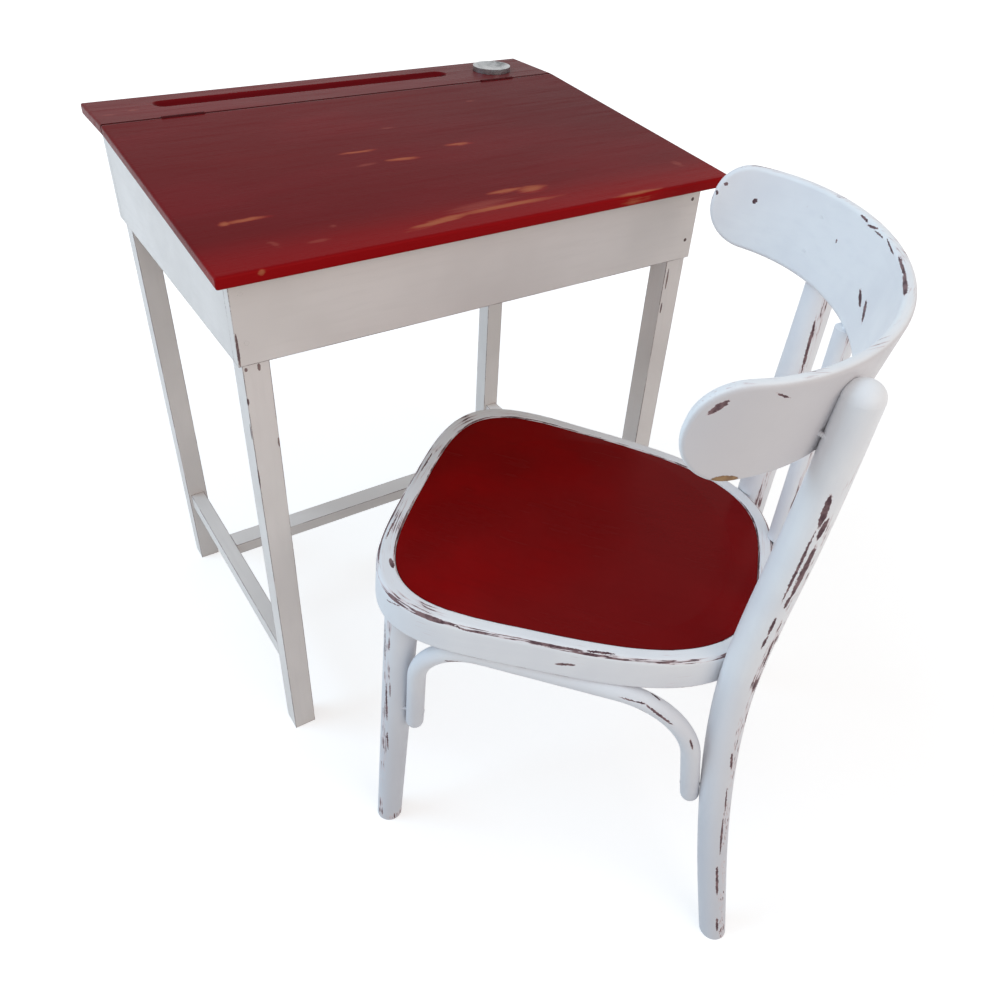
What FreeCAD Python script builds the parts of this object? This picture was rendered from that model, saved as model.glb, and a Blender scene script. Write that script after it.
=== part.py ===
"""A child's writing desk with a sloping lid, and its bentwood chair.

Millimetres and degrees. The frame stands on the floor: +X runs to the right along the desk,
+Y from the sitter to the back of the desk, +Z up, and the origin is the middle of the set's footprint.
"""
import FreeCAD, Part
import math
import os
from types import SimpleNamespace

import Sketcher

Vector = FreeCAD.Vector
Placement = FreeCAD.Placement
Rotation = FreeCAD.Rotation
RIGHT = Vector(1, 0, 0)
REAR = Vector(0, 1, 0)
UP = Vector(0, 0, 1)

# Driving sizes
VALUES = {
    # Desk as a whole: the middle of the lid's front edge stands at this place
    "desk_place_x": -2.4,
    "desk_place_y": 9.9,
    "desk_height": 710.0,
    "lid_width": 620.0,
    "lid_run": 369.0,
    "lid_drop": 33.0,
    "strip_depth": 98.0,
    "top_thickness": 13.0,
    "top_edge_round": 2.5,
    "side_overhang": 17.0,
    "front_overhang": 27.0,
    "back_overhang": 2.0,
    # Clearances that several joints share
    "rest_gap": 0.2,
    "joint_clearance": 0.1,
    "screw_clearance": 0.05,
    "cut_overrun": 2.0,
    # Box under the lid
    "panel_thickness": 14.0,
    "box_depth": 127.0,
    "floor_thickness": 6.0,
    "cleat_size": 12.0,
    "cleat_rise": 2.0,
    # Legs
    "leg_size": 28.0,
    "leg_side_inset": 4.0,
    "leg_front_inset": 3.0,
    "leg_back_inset": 7.0,
    "leg_top_gap": 10.0,
    # Stretchers between the legs
    "stretcher_bottom": 108.0,
    "stretcher_height": 23.0,
    "stretcher_width": 20.0,
    "stretcher_inset": 3.6,
    "tenon_length": 12.0,
    "tenon_width": 9.0,
    "tenon_height": 15.0,
    "cross_front": 281.0,
    "cross_width": 29.0,
    "cross_height": 17.0,
    "cross_tenon_length": 9.0,
    "cross_tenon_width": 17.0,
    "cross_tenon_height": 9.0,
    # Pen groove and inkwell in the back strip
    "groove_margin": 74.0,
    "groove_length": 404.0,
    "groove_width": 28.0,
    "groove_depth": 7.0,
    "groove_setback": 57.0,
    "inkwell_margin": 72.0,
    "inkwell_setback": 47.0,
    "pot_radius": 19.0,
    "pot_wall": 3.0,
    "pot_depth": 38.0,
    "flange_radius": 22.5,
    "flange_thickness": 2.2,
    "pot_clearance": 0.4,
    "cover_radius": 26.5,
    "cover_height": 6.5,
    "cover_rim": 3.0,
    "dish_radius": 15.0,
    "dish_floor": 1.4,
    "spigot_length": 5.0,
    # Hinges between strip and lid
    "hinge_gap": 2.4,
    "hinge_axis_depth": 0.6,
    "hinge_length": 50.0,
    "hinge_spacing": 434.0,
    "leaf_thickness": 1.5,
    "leaf_edge": 1.0,
    "knuckle_radius": 2.4,
    "knuckle_clearance": 0.3,
    "pin_radius": 1.1,
    "pin_clearance": 0.05,
    "hinge_screw_head": 2.1,
    "hinge_screw_radius": 1.1,
    "hinge_screw_length": 9.0,
    # Battens under the lid
    "batten_spacing": 400.0,
    "batten_width": 36.0,
    "batten_thickness": 14.0,
    "batten_length": 240.0,
    "batten_setback": 60.0,
    "batten_screw_head": 3.0,
    "batten_screw_head_height": 2.0,
    "batten_screw_radius": 1.6,
    "batten_screw_bite": 8.0,
    # Nails of the front and back panels
    "nail_head_radius": 2.2,
    "nail_head_height": 1.0,
    "nail_radius": 1.1,
    "nail_length": 38.0,
    "nail_edge": 11.0,
    "nail_high": 75.0,
    "nail_low": 24.0,
    # Chair as a whole: the middle of the seat stands at this place, turned to the left
    "chair_place_x": -13.3,
    "chair_place_y": -147.7,
    "seat_height": 396.0,
    # Seat ring and panel
    "seat_half_width": 187.5,
    "seat_front": 183.0,
    "seat_back": 226.0,
    "ring_height": 40.0,
    "ring_border": 17.0,
    "ring_ledge": 18.0,
    "ring_round": 6.0,
    "ring_inner_round": 3.0,
    "panel_sheet": 8.0,
    "panel_sink": 1.5,
    "panel_gap": 0.3,
    "dish_depth": 4.5,
    "dish_reach": 160.0,
    # Front legs of the chair, in from the ring's outer edge at the top and splayed at the foot
    "chair_leg_side_inset": 35.5,
    "chair_leg_front_inset": 45.0,
    "chair_leg_splay_out": 7.0,
    "chair_leg_splay_front": 22.0,
    "chair_leg_top_radius": 18.0,
    "chair_leg_foot_radius": 15.0,
    "dowel_radius": 9.0,
    "dowel_length": 22.0,
    # Back posts, lapped on the ring's rear corners and on the board's back
    "post_lap": 3.0,
    "post_splay_out": 50.0,
    "post_splay_back": 50.0,
    "post_foot_radius": 15.0,
    "post_shin_radius": 16.0,
    "post_knee_radius": 17.0,
    "post_seat_radius": 18.0,
    "post_waist_radius": 18.0,
    "post_neck_radius": 17.0,
    "post_top_radius": 15.5,
    "post_top_rise": 61.0,
    "post_dome": 14.0,
    # Back board: a bent plank that leans back
    "board_half_width": 238.0,
    "board_depth": 166.0,
    "board_wing": 74.0,
    "board_rise": 245.0,
    "board_height": 85.0,
    "board_lean": 18.0,
    "board_thickness": 11.0,
    "board_corner": 40.0,
    "board_round": 4.0,
    # Spindles between the seat ring and the back board
    "spindle_out": 60.0,
    "spindle_radius": 11.0,
    "spindle_setback": 2.0,
    "spindle_foot_rise": 4.0,
    "spindle_tenon_radius": 4.0,
    "spindle_tenon_length": 16.0,
    # Bent side braces under the seat
    "brace_radius": 10.0,
    "brace_gap": 0.2,
    "brace_post_gap": 1.35,
    "brace_front_drop": 160.0,
    "brace_rear_drop": 147.0,
    "brace_front_bend": 66.0,
    "brace_rear_bend": 92.0,
    "brace_leg_offset": 9.0,
    "brace_front_inset": 10.0,
    "brace_rear_inset": 17.0,
    "brace_post_offset": 3.0,
    # Screws of the chair
    "chair_screw_head": 3.6,
    "chair_screw_head_height": 2.5,
    "chair_screw_radius": 2.0,
    "post_screw_length": 58.0,
    "board_screw_spread": 36.0,
    "board_screw_length": 20.0,
    "brace_screw_length": 30.0,
    "brace_screw_rise": 35.0,
}
# How square the seat's outline is: 2 is an ellipse, more is squarer
SEAT_FRONT_POWER = 3.8
SEAT_BACK_POWER = 3.26
SEAT_OUTLINE_POINTS = 48
HINGE_KNUCKLES = 5
SIDES = (("left", -1), ("right", 1))
CHAIR_TURN_DEGREES = 42.4
# The seat slopes down to the back and narrows there: a share of its half width, at its front
SEAT_TILT_DEGREES = 3.56
SEAT_TAPER_SHARE = 0.09
# Where the back posts stand: the ring's rear corners, and a share of the board's half width
POST_CORNER_DEGREES = 47.4
POST_TOP_SHARE = 0.748
# Bends of a post below the ring: shares of its height there, of its outward and of its backward splay
POST_SHIN_SHARES = (0.32, 0.73, 0.546)
POST_KNEE_SHARES = (0.669, 0.30, 0.156)
# Bends between ring and board: shares of the rise, and of the way out and back to the board
POST_WAIST_SHARES = (0.358, 0.157, 0.222)
POST_NECK_SHARES = (0.8285, 0.60, 0.77)
# The wings' ends are cut a little askew, so that the left one is shorter
WING_SKEW_DEGREES = 1.5
# How far below and above itself the board is carried on when it cuts its neighbours
BOARD_LAP_SHARES = (-1, 2)


class Size:
    """A length with its value and the sheet formula that gives it."""

    def __init__(self, value, formula):
        self.value = value
        self.formula = formula

    def __float__(self):
        return self.value

    def __add__(self, other):
        other = as_size(other)
        return Size(self.value + other.value, f"({self.formula} + {other.formula})")

    def __sub__(self, other):
        other = as_size(other)
        return Size(self.value - other.value, f"({self.formula} - {other.formula})")

    def __mul__(self, other):
        other = as_size(other)
        return Size(self.value * other.value, f"({self.formula} * {other.formula})")

    def __truediv__(self, other):
        other = as_size(other)
        return Size(self.value / other.value, f"({self.formula} / {other.formula})")

    def __radd__(self, other):
        return as_size(other) + self

    def __rsub__(self, other):
        return as_size(other) - self

    def __rmul__(self, other):
        return as_size(other) * self

    def __neg__(self):
        return as_size(0) - self


def as_size(number):
    if isinstance(number, Size):
        return number
    return Size(float(number), repr(number))


def root(size):
    return Size(math.sqrt(size.value), f"sqrt({size.formula})")


doc = FreeCAD.newDocument("DeskAndChair")
sheet = doc.addObject("Spreadsheet::Sheet", "Sizes")
for row, (alias, number) in enumerate(VALUES.items(), start=1):
    sheet.set(f"A{row}", alias)
    sheet.set(f"B{row}", str(number))
    sheet.setAlias(f"B{row}", alias)
doc.recompute()
size = SimpleNamespace(**{alias: Size(number, f"Sizes.{alias}") for alias, number in VALUES.items()})
pieces = []


# Helpers that bind shapes to the sheet

def bind(thing, property_name, length):
    thing.setExpression(property_name, as_size(length).formula)


def bind_place(thing, place):
    for axis, length in zip("xyz", place):
        bind(thing, f"Placement.Base.{axis}", length)


def vector(place):
    return Vector(*[float(length) for length in place])


def label(thing, name, frame):
    thing.Label = name
    thing.Placement = frame
    pieces.append(thing)
    return thing


def new_body(name, frame):
    return label(doc.addObject("PartDesign::Body", name), name, frame)


def plane(body, role):
    return next(part for part in body.Origin.OriginFeatures if part.Role == role)


def block(body, name, x, y, z, kind="Additive"):
    feature = body.newObject(f"PartDesign::{kind}Box", name)
    for side, (low, high) in zip(("Length", "Width", "Height"), (x, y, z)):
        bind(feature, side, high - low)
    bind_place(feature, (x[0], y[0], z[0]))
    return feature


def pocket(body, name, x, y, z):
    return block(body, name, x, y, z, "Subtractive")


def turn_to(direction):
    return Placement(Vector(), Rotation(UP, direction))


def drill(body, name, start, direction, radius, depth):
    feature = body.newObject("PartDesign::SubtractiveCylinder", name)
    feature.Placement = turn_to(direction)
    bind(feature, "Radius", radius)
    bind(feature, "Height", depth)
    bind_place(feature, start)
    return feature


def round_edges(body, name, radius, wanted):
    doc.recompute()
    base = body.Tip
    edges = [f"Edge{k}" for k, edge in enumerate(base.Shape.Edges, start=1) if wanted(edge.CenterOfMass)]
    fillet = body.newObject("PartDesign::Fillet", name)
    fillet.Base = (base, edges)
    bind(fillet, "Radius", radius)
    return fillet


def polygon(body, name, role, corners):
    """A closed outline on one of the body's planes, with every corner held by the sheet."""
    sketch = body.newObject("Sketcher::SketchObject", name)
    sketch.AttachmentSupport = (plane(body, role), [""])
    sketch.MapMode = "FlatFace"
    count = len(corners)
    points = [Vector(float(a), float(b), 0) for a, b in corners]
    for k in range(count):
        sketch.addGeometry(Part.LineSegment(points[k], points[(k + 1) % count]))
    for k in range(count):
        sketch.addConstraint(Sketcher.Constraint("Coincident", k, 2, (k + 1) % count, 1))
    for k, corner in enumerate(corners):
        for kind, axis, length in (("DistanceX", -2, corner[0]), ("DistanceY", -1, corner[1])):
            if float(length) == 0:
                sketch.addConstraint(Sketcher.Constraint("PointOnObject", k, 1, axis))
                continue
            held = sketch.addConstraint(Sketcher.Constraint(kind, -1, 1, k, 1, float(length)))
            bind(sketch, f"Constraints[{held}]", length)
    return sketch


def turned(name, frame, corners):
    """A round piece: an outline of radius and height turned about the vertical axis."""
    body = new_body(name, frame)
    sketch = polygon(body, f"{name}_outline", "XZ_Plane", corners)
    turn = body.newObject("PartDesign::Revolution", f"{name}_turn")
    turn.Profile = sketch
    turn.ReferenceAxis = (sketch, ["V_Axis"])
    return body


def mirrored(side, low, high):
    """A stretch along X, on the right as given and on the left mirrored."""
    return (low, high) if side > 0 else (-high, -low)


def cylinder(name, start, direction, radius, length):
    rod = doc.addObject("Part::Cylinder", name)
    rod.Placement = turn_to(direction)
    bind(rod, "Radius", radius)
    bind(rod, "Height", length)
    bind_place(rod, start)
    return rod


def along(start, direction, length):
    return tuple(a + step * length for a, step in zip(start, direction))


def fastener(name, start, direction, sizes):
    """A headed nail or screw: sizes are head radius, head height, shank radius and whole length."""
    head_radius, head_height, radius, length = sizes
    head = doc.addObject("Part::Cone", f"{name}_head")
    head.Placement = turn_to(direction)
    bind(head, "Radius1", head_radius)
    bind(head, "Radius2", radius)
    bind(head, "Height", head_height)
    bind_place(head, start)
    neck = along(start, direction, head_height)
    shank = cylinder(f"{name}_shank", neck, direction, radius, length - head_height)
    whole = doc.addObject("Part::Fuse", name)
    whole.Base = head
    whole.Tool = shank
    return whole


def fastener_group(name, frame, places, sizes):
    group = doc.addObject("Part::Compound", name)
    group.Links = [fastener(f"{name}_{k}", start, way, sizes) for k, (start, way) in enumerate(places, start=1)]
    return label(group, name, frame)


def fastener_holes(body, places, sizes):
    """Clears a body for fasteners that start at the given places."""
    head_radius, head_height, radius, length = sizes
    for start, direction in places:
        hole = body.newObject("PartDesign::SubtractiveCone", "HeadHole")
        hole.Placement = turn_to(direction)
        bind(hole, "Radius1", head_radius + size.screw_clearance)
        bind(hole, "Radius2", radius + size.screw_clearance)
        bind(hole, "Height", head_height)
        bind_place(hole, start)
        drill(body, "ShankHole", start, direction, radius + size.screw_clearance, length + size.screw_clearance)


def cut(name, frame, base, tools):
    """A piece less the tools that it makes room for."""
    tool = tools[0]
    if len(tools) > 1:
        tool = doc.addObject("Part::MultiFuse", f"{name}_room")
        tool.Shapes = tools
    piece = doc.addObject("Part::Cut", name)
    piece.Base = base
    piece.Tool = tool
    return label(piece, name, frame)


def solid(name, shape):
    feature = doc.addObject("Part::Feature", name)
    feature.Shape = shape
    return feature


# Desk: shared planes, measured from the middle of the lid's front edge on the floor
desk_frame = Placement(vector((size.desk_place_x, size.desk_place_y, 0)), Rotation())
box_half = size.lid_width / 2 - size.side_overhang
box_inner = box_half - size.panel_thickness
front_face = size.front_overhang
front_inner = front_face + size.panel_thickness
strip_back = size.lid_run + size.strip_depth
back_face = strip_back - size.back_overhang
back_inner = back_face - size.panel_thickness
strip_under = size.desk_height - size.top_thickness
panel_bottom = strip_under - size.box_depth
lid_length = root(size.lid_run * size.lid_run + size.lid_drop * size.lid_drop)
lid_rise_share = size.lid_drop / size.lid_run
lid_plumb = size.top_thickness * lid_length / size.lid_run
leg_outer = box_half - size.leg_side_inset
leg_inner = leg_outer - size.leg_size
leg_front = front_face + size.leg_front_inset
leg_back = back_face - size.leg_back_inset
stretcher_top = size.stretcher_bottom + size.stretcher_height
stretcher_outer = leg_outer - size.stretcher_inset
stretcher_inner = stretcher_outer - size.stretcher_width


def lid_underside(depth):
    """Height of the closed lid's underside at a distance behind its front edge."""
    return size.desk_height - (size.lid_run - depth) * lid_rise_share - lid_plumb


# Tenon of a side stretcher, which the leg's mortise follows
tenon_middle = (stretcher_outer + stretcher_inner) / 2
tenon_x = (tenon_middle - size.tenon_width / 2, tenon_middle + size.tenon_width / 2)
tenon_low = size.stretcher_bottom + (size.stretcher_height - size.tenon_height) / 2
tenon_z = (tenon_low, tenon_low + size.tenon_height)
stretcher_front = leg_front + size.leg_size
stretcher_back = leg_back - size.leg_size


def grown(span, gap):
    return (span[0] - gap, span[1] + gap)


def desk_leg(name, side, y, rebate_y, mortise_y, top):
    """A square leg, cut back above the panels' lower edge and mortised for its stretcher."""
    body = new_body(name, desk_frame)
    block(body, "Blank", mirrored(side, leg_inner, leg_outer), y, (0, top))
    above = (panel_bottom, top + size.cut_overrun)
    pocket(body, "SideRebate", mirrored(side, box_inner, leg_outer + size.cut_overrun),
           grown(y, size.cut_overrun), above)
    pocket(body, "EndRebate", mirrored(side, leg_inner - size.cut_overrun, leg_outer + size.cut_overrun),
           rebate_y, above)
    gap = size.joint_clearance
    pocket(body, "Mortise", mirrored(side, *grown(tenon_x, gap)), mortise_y, grown(tenon_z, gap))


mortise_depth = size.tenon_length + size.joint_clearance
for hand, side in SIDES:
    desk_leg(f"leg_front_{hand}", side, (leg_front, stretcher_front),
             (leg_front - size.cut_overrun, front_inner),
             (stretcher_front - mortise_depth, stretcher_front + size.cut_overrun),
             lid_underside(front_inner) - size.leg_top_gap)
    desk_leg(f"leg_back_{hand}", side, (stretcher_back, leg_back),
             (back_inner, leg_back + size.cut_overrun),
             (stretcher_back - size.cut_overrun, stretcher_back + mortise_depth),
             strip_under - size.leg_top_gap)

# Stretchers: one along each side, and one across between them
cross_back = size.cross_front + size.cross_width
cross_low = stretcher_top - size.cross_height
cross_middle_y = (size.cross_front + cross_back) / 2
cross_middle_z = cross_low + size.cross_height / 2
cross_tenon_y = (cross_middle_y - size.cross_tenon_width / 2, cross_middle_y + size.cross_tenon_width / 2)
cross_tenon_z = (cross_middle_z - size.cross_tenon_height / 2, cross_middle_z + size.cross_tenon_height / 2)

for hand, side in SIDES:
    body = new_body(f"stretcher_{hand}", desk_frame)
    block(body, "Rail", mirrored(side, stretcher_inner, stretcher_outer), (stretcher_front, stretcher_back),
          (size.stretcher_bottom, stretcher_top))
    block(body, "Tenons", mirrored(side, *tenon_x),
          (stretcher_front - size.tenon_length, stretcher_back + size.tenon_length), tenon_z)
    mortise = stretcher_inner + size.cross_tenon_length + size.joint_clearance
    pocket(body, "CrossMortise", mirrored(side, stretcher_inner - size.cut_overrun, mortise),
           grown(cross_tenon_y, size.joint_clearance), grown(cross_tenon_z, size.joint_clearance))

body = new_body("stretcher_cross", desk_frame)
block(body, "Rail", (-stretcher_inner, stretcher_inner), (size.cross_front, cross_back), (cross_low, stretcher_top))
cross_end = stretcher_inner + size.cross_tenon_length
block(body, "Tenons", (-cross_end, cross_end), cross_tenon_y, cross_tenon_z)

# Box panels and their nails
nail = (size.nail_head_radius, size.nail_head_height, size.nail_radius, size.nail_length)
nail_x = box_half - size.nail_edge
nail_heights = (panel_bottom + size.nail_low, panel_bottom + size.nail_high)
front_nails = [((side * nail_x, front_face, height), REAR) for _, side in SIDES for height in nail_heights]
back_nails = [((side * nail_x, back_face, height), -REAR) for _, side in SIDES for height in nail_heights]
panel_width = (-box_half, box_half)

body = new_body("front_panel", desk_frame)
block(body, "Board", panel_width, (front_face, front_inner),
      (panel_bottom, lid_underside(front_face) - size.rest_gap))
fastener_holes(body, front_nails, nail)

body = new_body("back_panel", desk_frame)
block(body, "Board", panel_width, (back_inner, back_face), (panel_bottom, strip_under))
fastener_holes(body, back_nails, nail)

fastener_group("front_panel_nails", desk_frame, front_nails, nail)
fastener_group("back_panel_nails", desk_frame, back_nails, nail)

for hand, side in SIDES:
    body = new_body(f"side_panel_{hand}", desk_frame)
    sketch = polygon(body, "Slope", "YZ_Plane", [
        (front_inner, panel_bottom),
        (back_inner, panel_bottom),
        (back_inner, strip_under),
        (size.lid_run + size.hinge_gap / 2, strip_under),
        (size.lid_run, lid_underside(size.lid_run) - size.rest_gap),
        (front_inner, lid_underside(front_inner) - size.rest_gap),
    ])
    bind(sketch, "AttachmentOffset.Base.z", mirrored(side, box_inner, box_half)[0])
    pad = body.newObject("PartDesign::Pad", "Board")
    pad.Profile = sketch
    bind(pad, "Length", size.panel_thickness)
    near = [place for place in front_nails + back_nails if float(place[0][0]) * side > 0]
    fastener_holes(body, near, nail)

# Box floor on its cleats, notched round the legs
cleat_low = panel_bottom + size.cleat_rise
floor_low = cleat_low + size.cleat_size
for hand, side in SIDES:
    body = new_body(f"floor_cleat_{hand}", desk_frame)
    block(body, "Cleat", mirrored(side, box_inner - size.cleat_size, box_inner),
          (stretcher_front + size.joint_clearance, stretcher_back - size.joint_clearance), (cleat_low, floor_low))

body = new_body("box_floor", desk_frame)
floor_z = (floor_low, floor_low + size.floor_thickness)
block(body, "Sheet", grown((-box_inner, box_inner), -size.joint_clearance),
      grown((front_inner, back_inner), -size.joint_clearance), floor_z)
for hand, side in SIDES:
    notch_x = mirrored(side, leg_inner - size.joint_clearance, box_inner + size.cut_overrun)
    pocket(body, "FrontNotch", notch_x,
           (front_inner - size.cut_overrun, stretcher_front + size.joint_clearance), grown(floor_z, size.cut_overrun))
    pocket(body, "BackNotch", notch_x,
           (stretcher_back - size.joint_clearance, back_inner + size.cut_overrun), grown(floor_z, size.cut_overrun))

# Hinges: the axis runs along X in the joint between strip and lid
axis_height = size.desk_height - size.hinge_axis_depth
half_gap = size.hinge_gap / 2
hinge_screw = (size.hinge_screw_head, size.leaf_thickness, size.hinge_screw_radius, size.hinge_screw_length)
leaf_drop = size.top_thickness - size.hinge_axis_depth - size.leaf_edge
leaf_top_drop = size.knuckle_radius + size.knuckle_clearance
leaf_middle_drop = (leaf_drop + leaf_top_drop) / 2
slope = math.degrees(math.atan2(float(size.lid_drop), float(size.lid_run)))
hinge_place = vector((size.desk_place_x, size.desk_place_y + size.lid_run, axis_height))
hinge_frame = Placement(hinge_place, Rotation())
lid_frame = Placement(hinge_place, Rotation(RIGHT, slope))


def hinge_span(side):
    middle = side * size.hinge_spacing / 2
    return (middle - size.hinge_length / 2, middle + size.hinge_length / 2)


def hinge_screw_places(y, direction):
    """Two screws in each leaf, at a quarter of its length from its ends."""
    places = []
    for _, side in SIDES:
        low, high = hinge_span(side)
        quarter = (high - low) / 4
        places += [((x, y, -leaf_middle_drop), direction) for x in (low + quarter, high - quarter)]
    return places


def hinge_recess(body, side, y):
    low, high = grown(hinge_span(side), size.knuckle_clearance)
    pocket(body, "HingeRecess", (low, high), y,
           (-leaf_drop - size.joint_clearance, size.hinge_axis_depth + size.cut_overrun))


def hinge_leaf(name, frame, side, y, own_knuckles, screws):
    """A leaf with every other knuckle of the hinge."""
    body = new_body(name, frame)
    low, high = hinge_span(side)
    pitch = (high - low) / HINGE_KNUCKLES
    block(body, "Leaf", (low, high), y, (-leaf_drop, -leaf_top_drop))
    for k in own_knuckles:
        start = low + k * pitch + size.knuckle_clearance / 2
        stop = start + pitch - size.knuckle_clearance
        block(body, "Neck", (start, stop), y, (-leaf_drop, 0))
        knuckle = body.newObject("PartDesign::AdditiveCylinder", "Knuckle")
        knuckle.Placement = turn_to(RIGHT)
        bind(knuckle, "Radius", size.knuckle_radius)
        bind(knuckle, "Height", stop - start)
        bind_place(knuckle, (start, 0, 0))
    drill(body, "PinHole", (low - size.cut_overrun, 0, 0), RIGHT, size.pin_radius + size.pin_clearance,
          high - low + size.cut_overrun * 2)
    fastener_holes(body, [place for place in screws if low.value < place[0][0].value < high.value], hinge_screw)


strip_edge = half_gap
strip_leaf_y = (strip_edge, strip_edge + size.leaf_thickness)
lid_leaf_y = (-half_gap - size.leaf_thickness, -half_gap)
strip_screws = hinge_screw_places(strip_edge, REAR)
lid_screws = hinge_screw_places(-half_gap, -REAR)
for hand, side in SIDES:
    hinge_leaf(f"hinge_leaf_strip_{hand}", hinge_frame, side, strip_leaf_y,
               range(0, HINGE_KNUCKLES, 2), strip_screws)
    hinge_leaf(f"hinge_leaf_lid_{hand}", lid_frame, side, lid_leaf_y, range(1, HINGE_KNUCKLES, 2), lid_screws)
    low, high = hinge_span(side)
    label(cylinder(f"hinge_pin_{hand}", (low, 0, 0), RIGHT, size.pin_radius, high - low), f"hinge_pin_{hand}",
          hinge_frame * Placement(vector((low, 0, 0)), Rotation(UP, RIGHT)))
    pieces[-1].setExpression("Placement.Base.x", (size.desk_place_x + low).formula)
    pieces[-1].setExpression("Placement.Base.y", (size.desk_place_y + size.lid_run).formula)
    pieces[-1].setExpression("Placement.Base.z", axis_height.formula)
fastener_group("strip_hinge_screws", hinge_frame, strip_screws, hinge_screw)
fastener_group("lid_hinge_screws", lid_frame, lid_screws, hinge_screw)

# Back strip: drawn from the hinge axis, with its pen groove, inkwell hole and hinge recesses
strip_end = size.strip_depth
top_z = (size.hinge_axis_depth - size.top_thickness, size.hinge_axis_depth)
half_width = size.lid_width / 2
body = new_body("back_strip", hinge_frame)
block(body, "Board", (-half_width, half_width), (strip_edge, strip_end), top_z)
half_round = float(size.top_edge_round) / 2
round_edges(body, "Edges", size.top_edge_round,
            lambda middle: middle.y > float(strip_edge) + half_round)
groove_radius = (size.groove_width * size.groove_width / 4 + size.groove_depth * size.groove_depth) / (
    2 * size.groove_depth)
groove_z = size.hinge_axis_depth - size.groove_depth + groove_radius
groove_ends = (size.groove_width / 2 + size.groove_margin - half_width,
               size.groove_margin + size.groove_length - size.groove_width / 2 - half_width)
drill(body, "Groove", (groove_ends[0], size.groove_setback, groove_z), RIGHT, groove_radius,
      groove_ends[1] - groove_ends[0])
for end in groove_ends:
    ball = body.newObject("PartDesign::SubtractiveSphere", "GrooveEnd")
    bind(ball, "Radius", groove_radius)
    bind_place(ball, (end, size.groove_setback, groove_z))
inkwell_x = half_width - size.inkwell_margin
drill(body, "InkwellHole", (inkwell_x, size.inkwell_setback, top_z[0] - size.cut_overrun), UP,
      size.pot_radius + size.pot_clearance, size.top_thickness + size.cut_overrun * 2)
for hand, side in SIDES:
    hinge_recess(body, side, (strip_edge - size.cut_overrun, strip_edge + size.leaf_thickness))
fastener_holes(body, strip_screws, hinge_screw)

# Lid: drawn from the hinge axis in its own sloping frame, with -Y running to its front edge
lid_back = -half_gap
batten_y = (-size.batten_setback - size.batten_length, -size.batten_setback)
batten_z = (top_z[0] - size.batten_thickness, top_z[0])
batten_screw_length = size.batten_thickness + size.batten_screw_bite
batten_screw = (size.batten_screw_head, size.batten_screw_head_height, size.batten_screw_radius, batten_screw_length)
batten_sixth = size.batten_length / 6
batten_screws = [((side * size.batten_spacing / 2, batten_y[0] + k * batten_sixth, batten_z[0]), UP)
                 for _, side in SIDES for k in (1, 3, 5)]

body = new_body("lid_board", lid_frame)
block(body, "Board", (-half_width, half_width), (-lid_length, lid_back), top_z)
round_edges(body, "Edges", size.top_edge_round,
            lambda middle: middle.y < float(lid_back) - half_round)
for hand, side in SIDES:
    hinge_recess(body, side, (lid_back - size.leaf_thickness, lid_back + size.cut_overrun))
fastener_holes(body, lid_screws, hinge_screw)
fastener_holes(body, batten_screws, batten_screw)

for hand, side in SIDES:
    body = new_body(f"lid_batten_{hand}", lid_frame)
    middle = side * size.batten_spacing / 2
    block(body, "Batten", (middle - size.batten_width / 2, middle + size.batten_width / 2), batten_y, batten_z)
    fastener_holes(body, [place for place in batten_screws if place[0][0].value * side > 0], batten_screw)
fastener_group("batten_screws", lid_frame, batten_screws, batten_screw)

# Inkwell: a pot that hangs by its flange, and a dished cover over it
inkwell_place = vector((inkwell_x, size.inkwell_setback, size.hinge_axis_depth))
inkwell_frame = hinge_frame * Placement(inkwell_place, Rotation())
mouth = size.pot_radius - size.pot_wall
flange_low = size.rest_gap
flange_top = flange_low + size.flange_thickness
turned("inkwell_pot", inkwell_frame, [
    (0, -size.pot_depth), (size.pot_radius, -size.pot_depth), (size.pot_radius, flange_low),
    (size.flange_radius, flange_low), (size.flange_radius, flange_top), (mouth, flange_top),
    (mouth, size.pot_wall - size.pot_depth), (0, size.pot_wall - size.pot_depth),
])
cover_low = flange_top + size.rest_gap
spigot = mouth - size.pot_clearance
skirt = size.flange_radius + size.pot_clearance
turned("inkwell_cover", inkwell_frame, [
    (0, cover_low - size.spigot_length), (spigot, cover_low - size.spigot_length), (spigot, cover_low),
    (skirt, cover_low), (skirt, flange_low), (size.cover_radius, flange_low),
    (size.cover_radius, size.cover_height), (size.cover_radius - size.cover_rim, size.cover_height),
    (size.dish_radius, cover_low + size.dish_floor), (0, cover_low + size.dish_floor),
])

# Chair: shared frame, with X to the sitter's right and Y forward
chair_frame = Placement(vector((size.chair_place_x, size.chair_place_y, 0)), Rotation(UP, CHAIR_TURN_DEGREES))
ring_bottom = size.seat_height - size.ring_height
board_bottom = size.seat_height + size.board_rise
seat_tilt = math.radians(SEAT_TILT_DEGREES)
seat_pivot = vector((0, 0, size.seat_height))
seat_place = Placement(seat_pivot, Rotation(RIGHT, SEAT_TILT_DEGREES)) * Placement(-seat_pivot, Rotation())


def ring_under(forward):
    """Height of the tilted ring's underside at a distance in front of the seat's middle."""
    return size.seat_height - size.ring_height / math.cos(seat_tilt) + forward * math.tan(seat_tilt)


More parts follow.
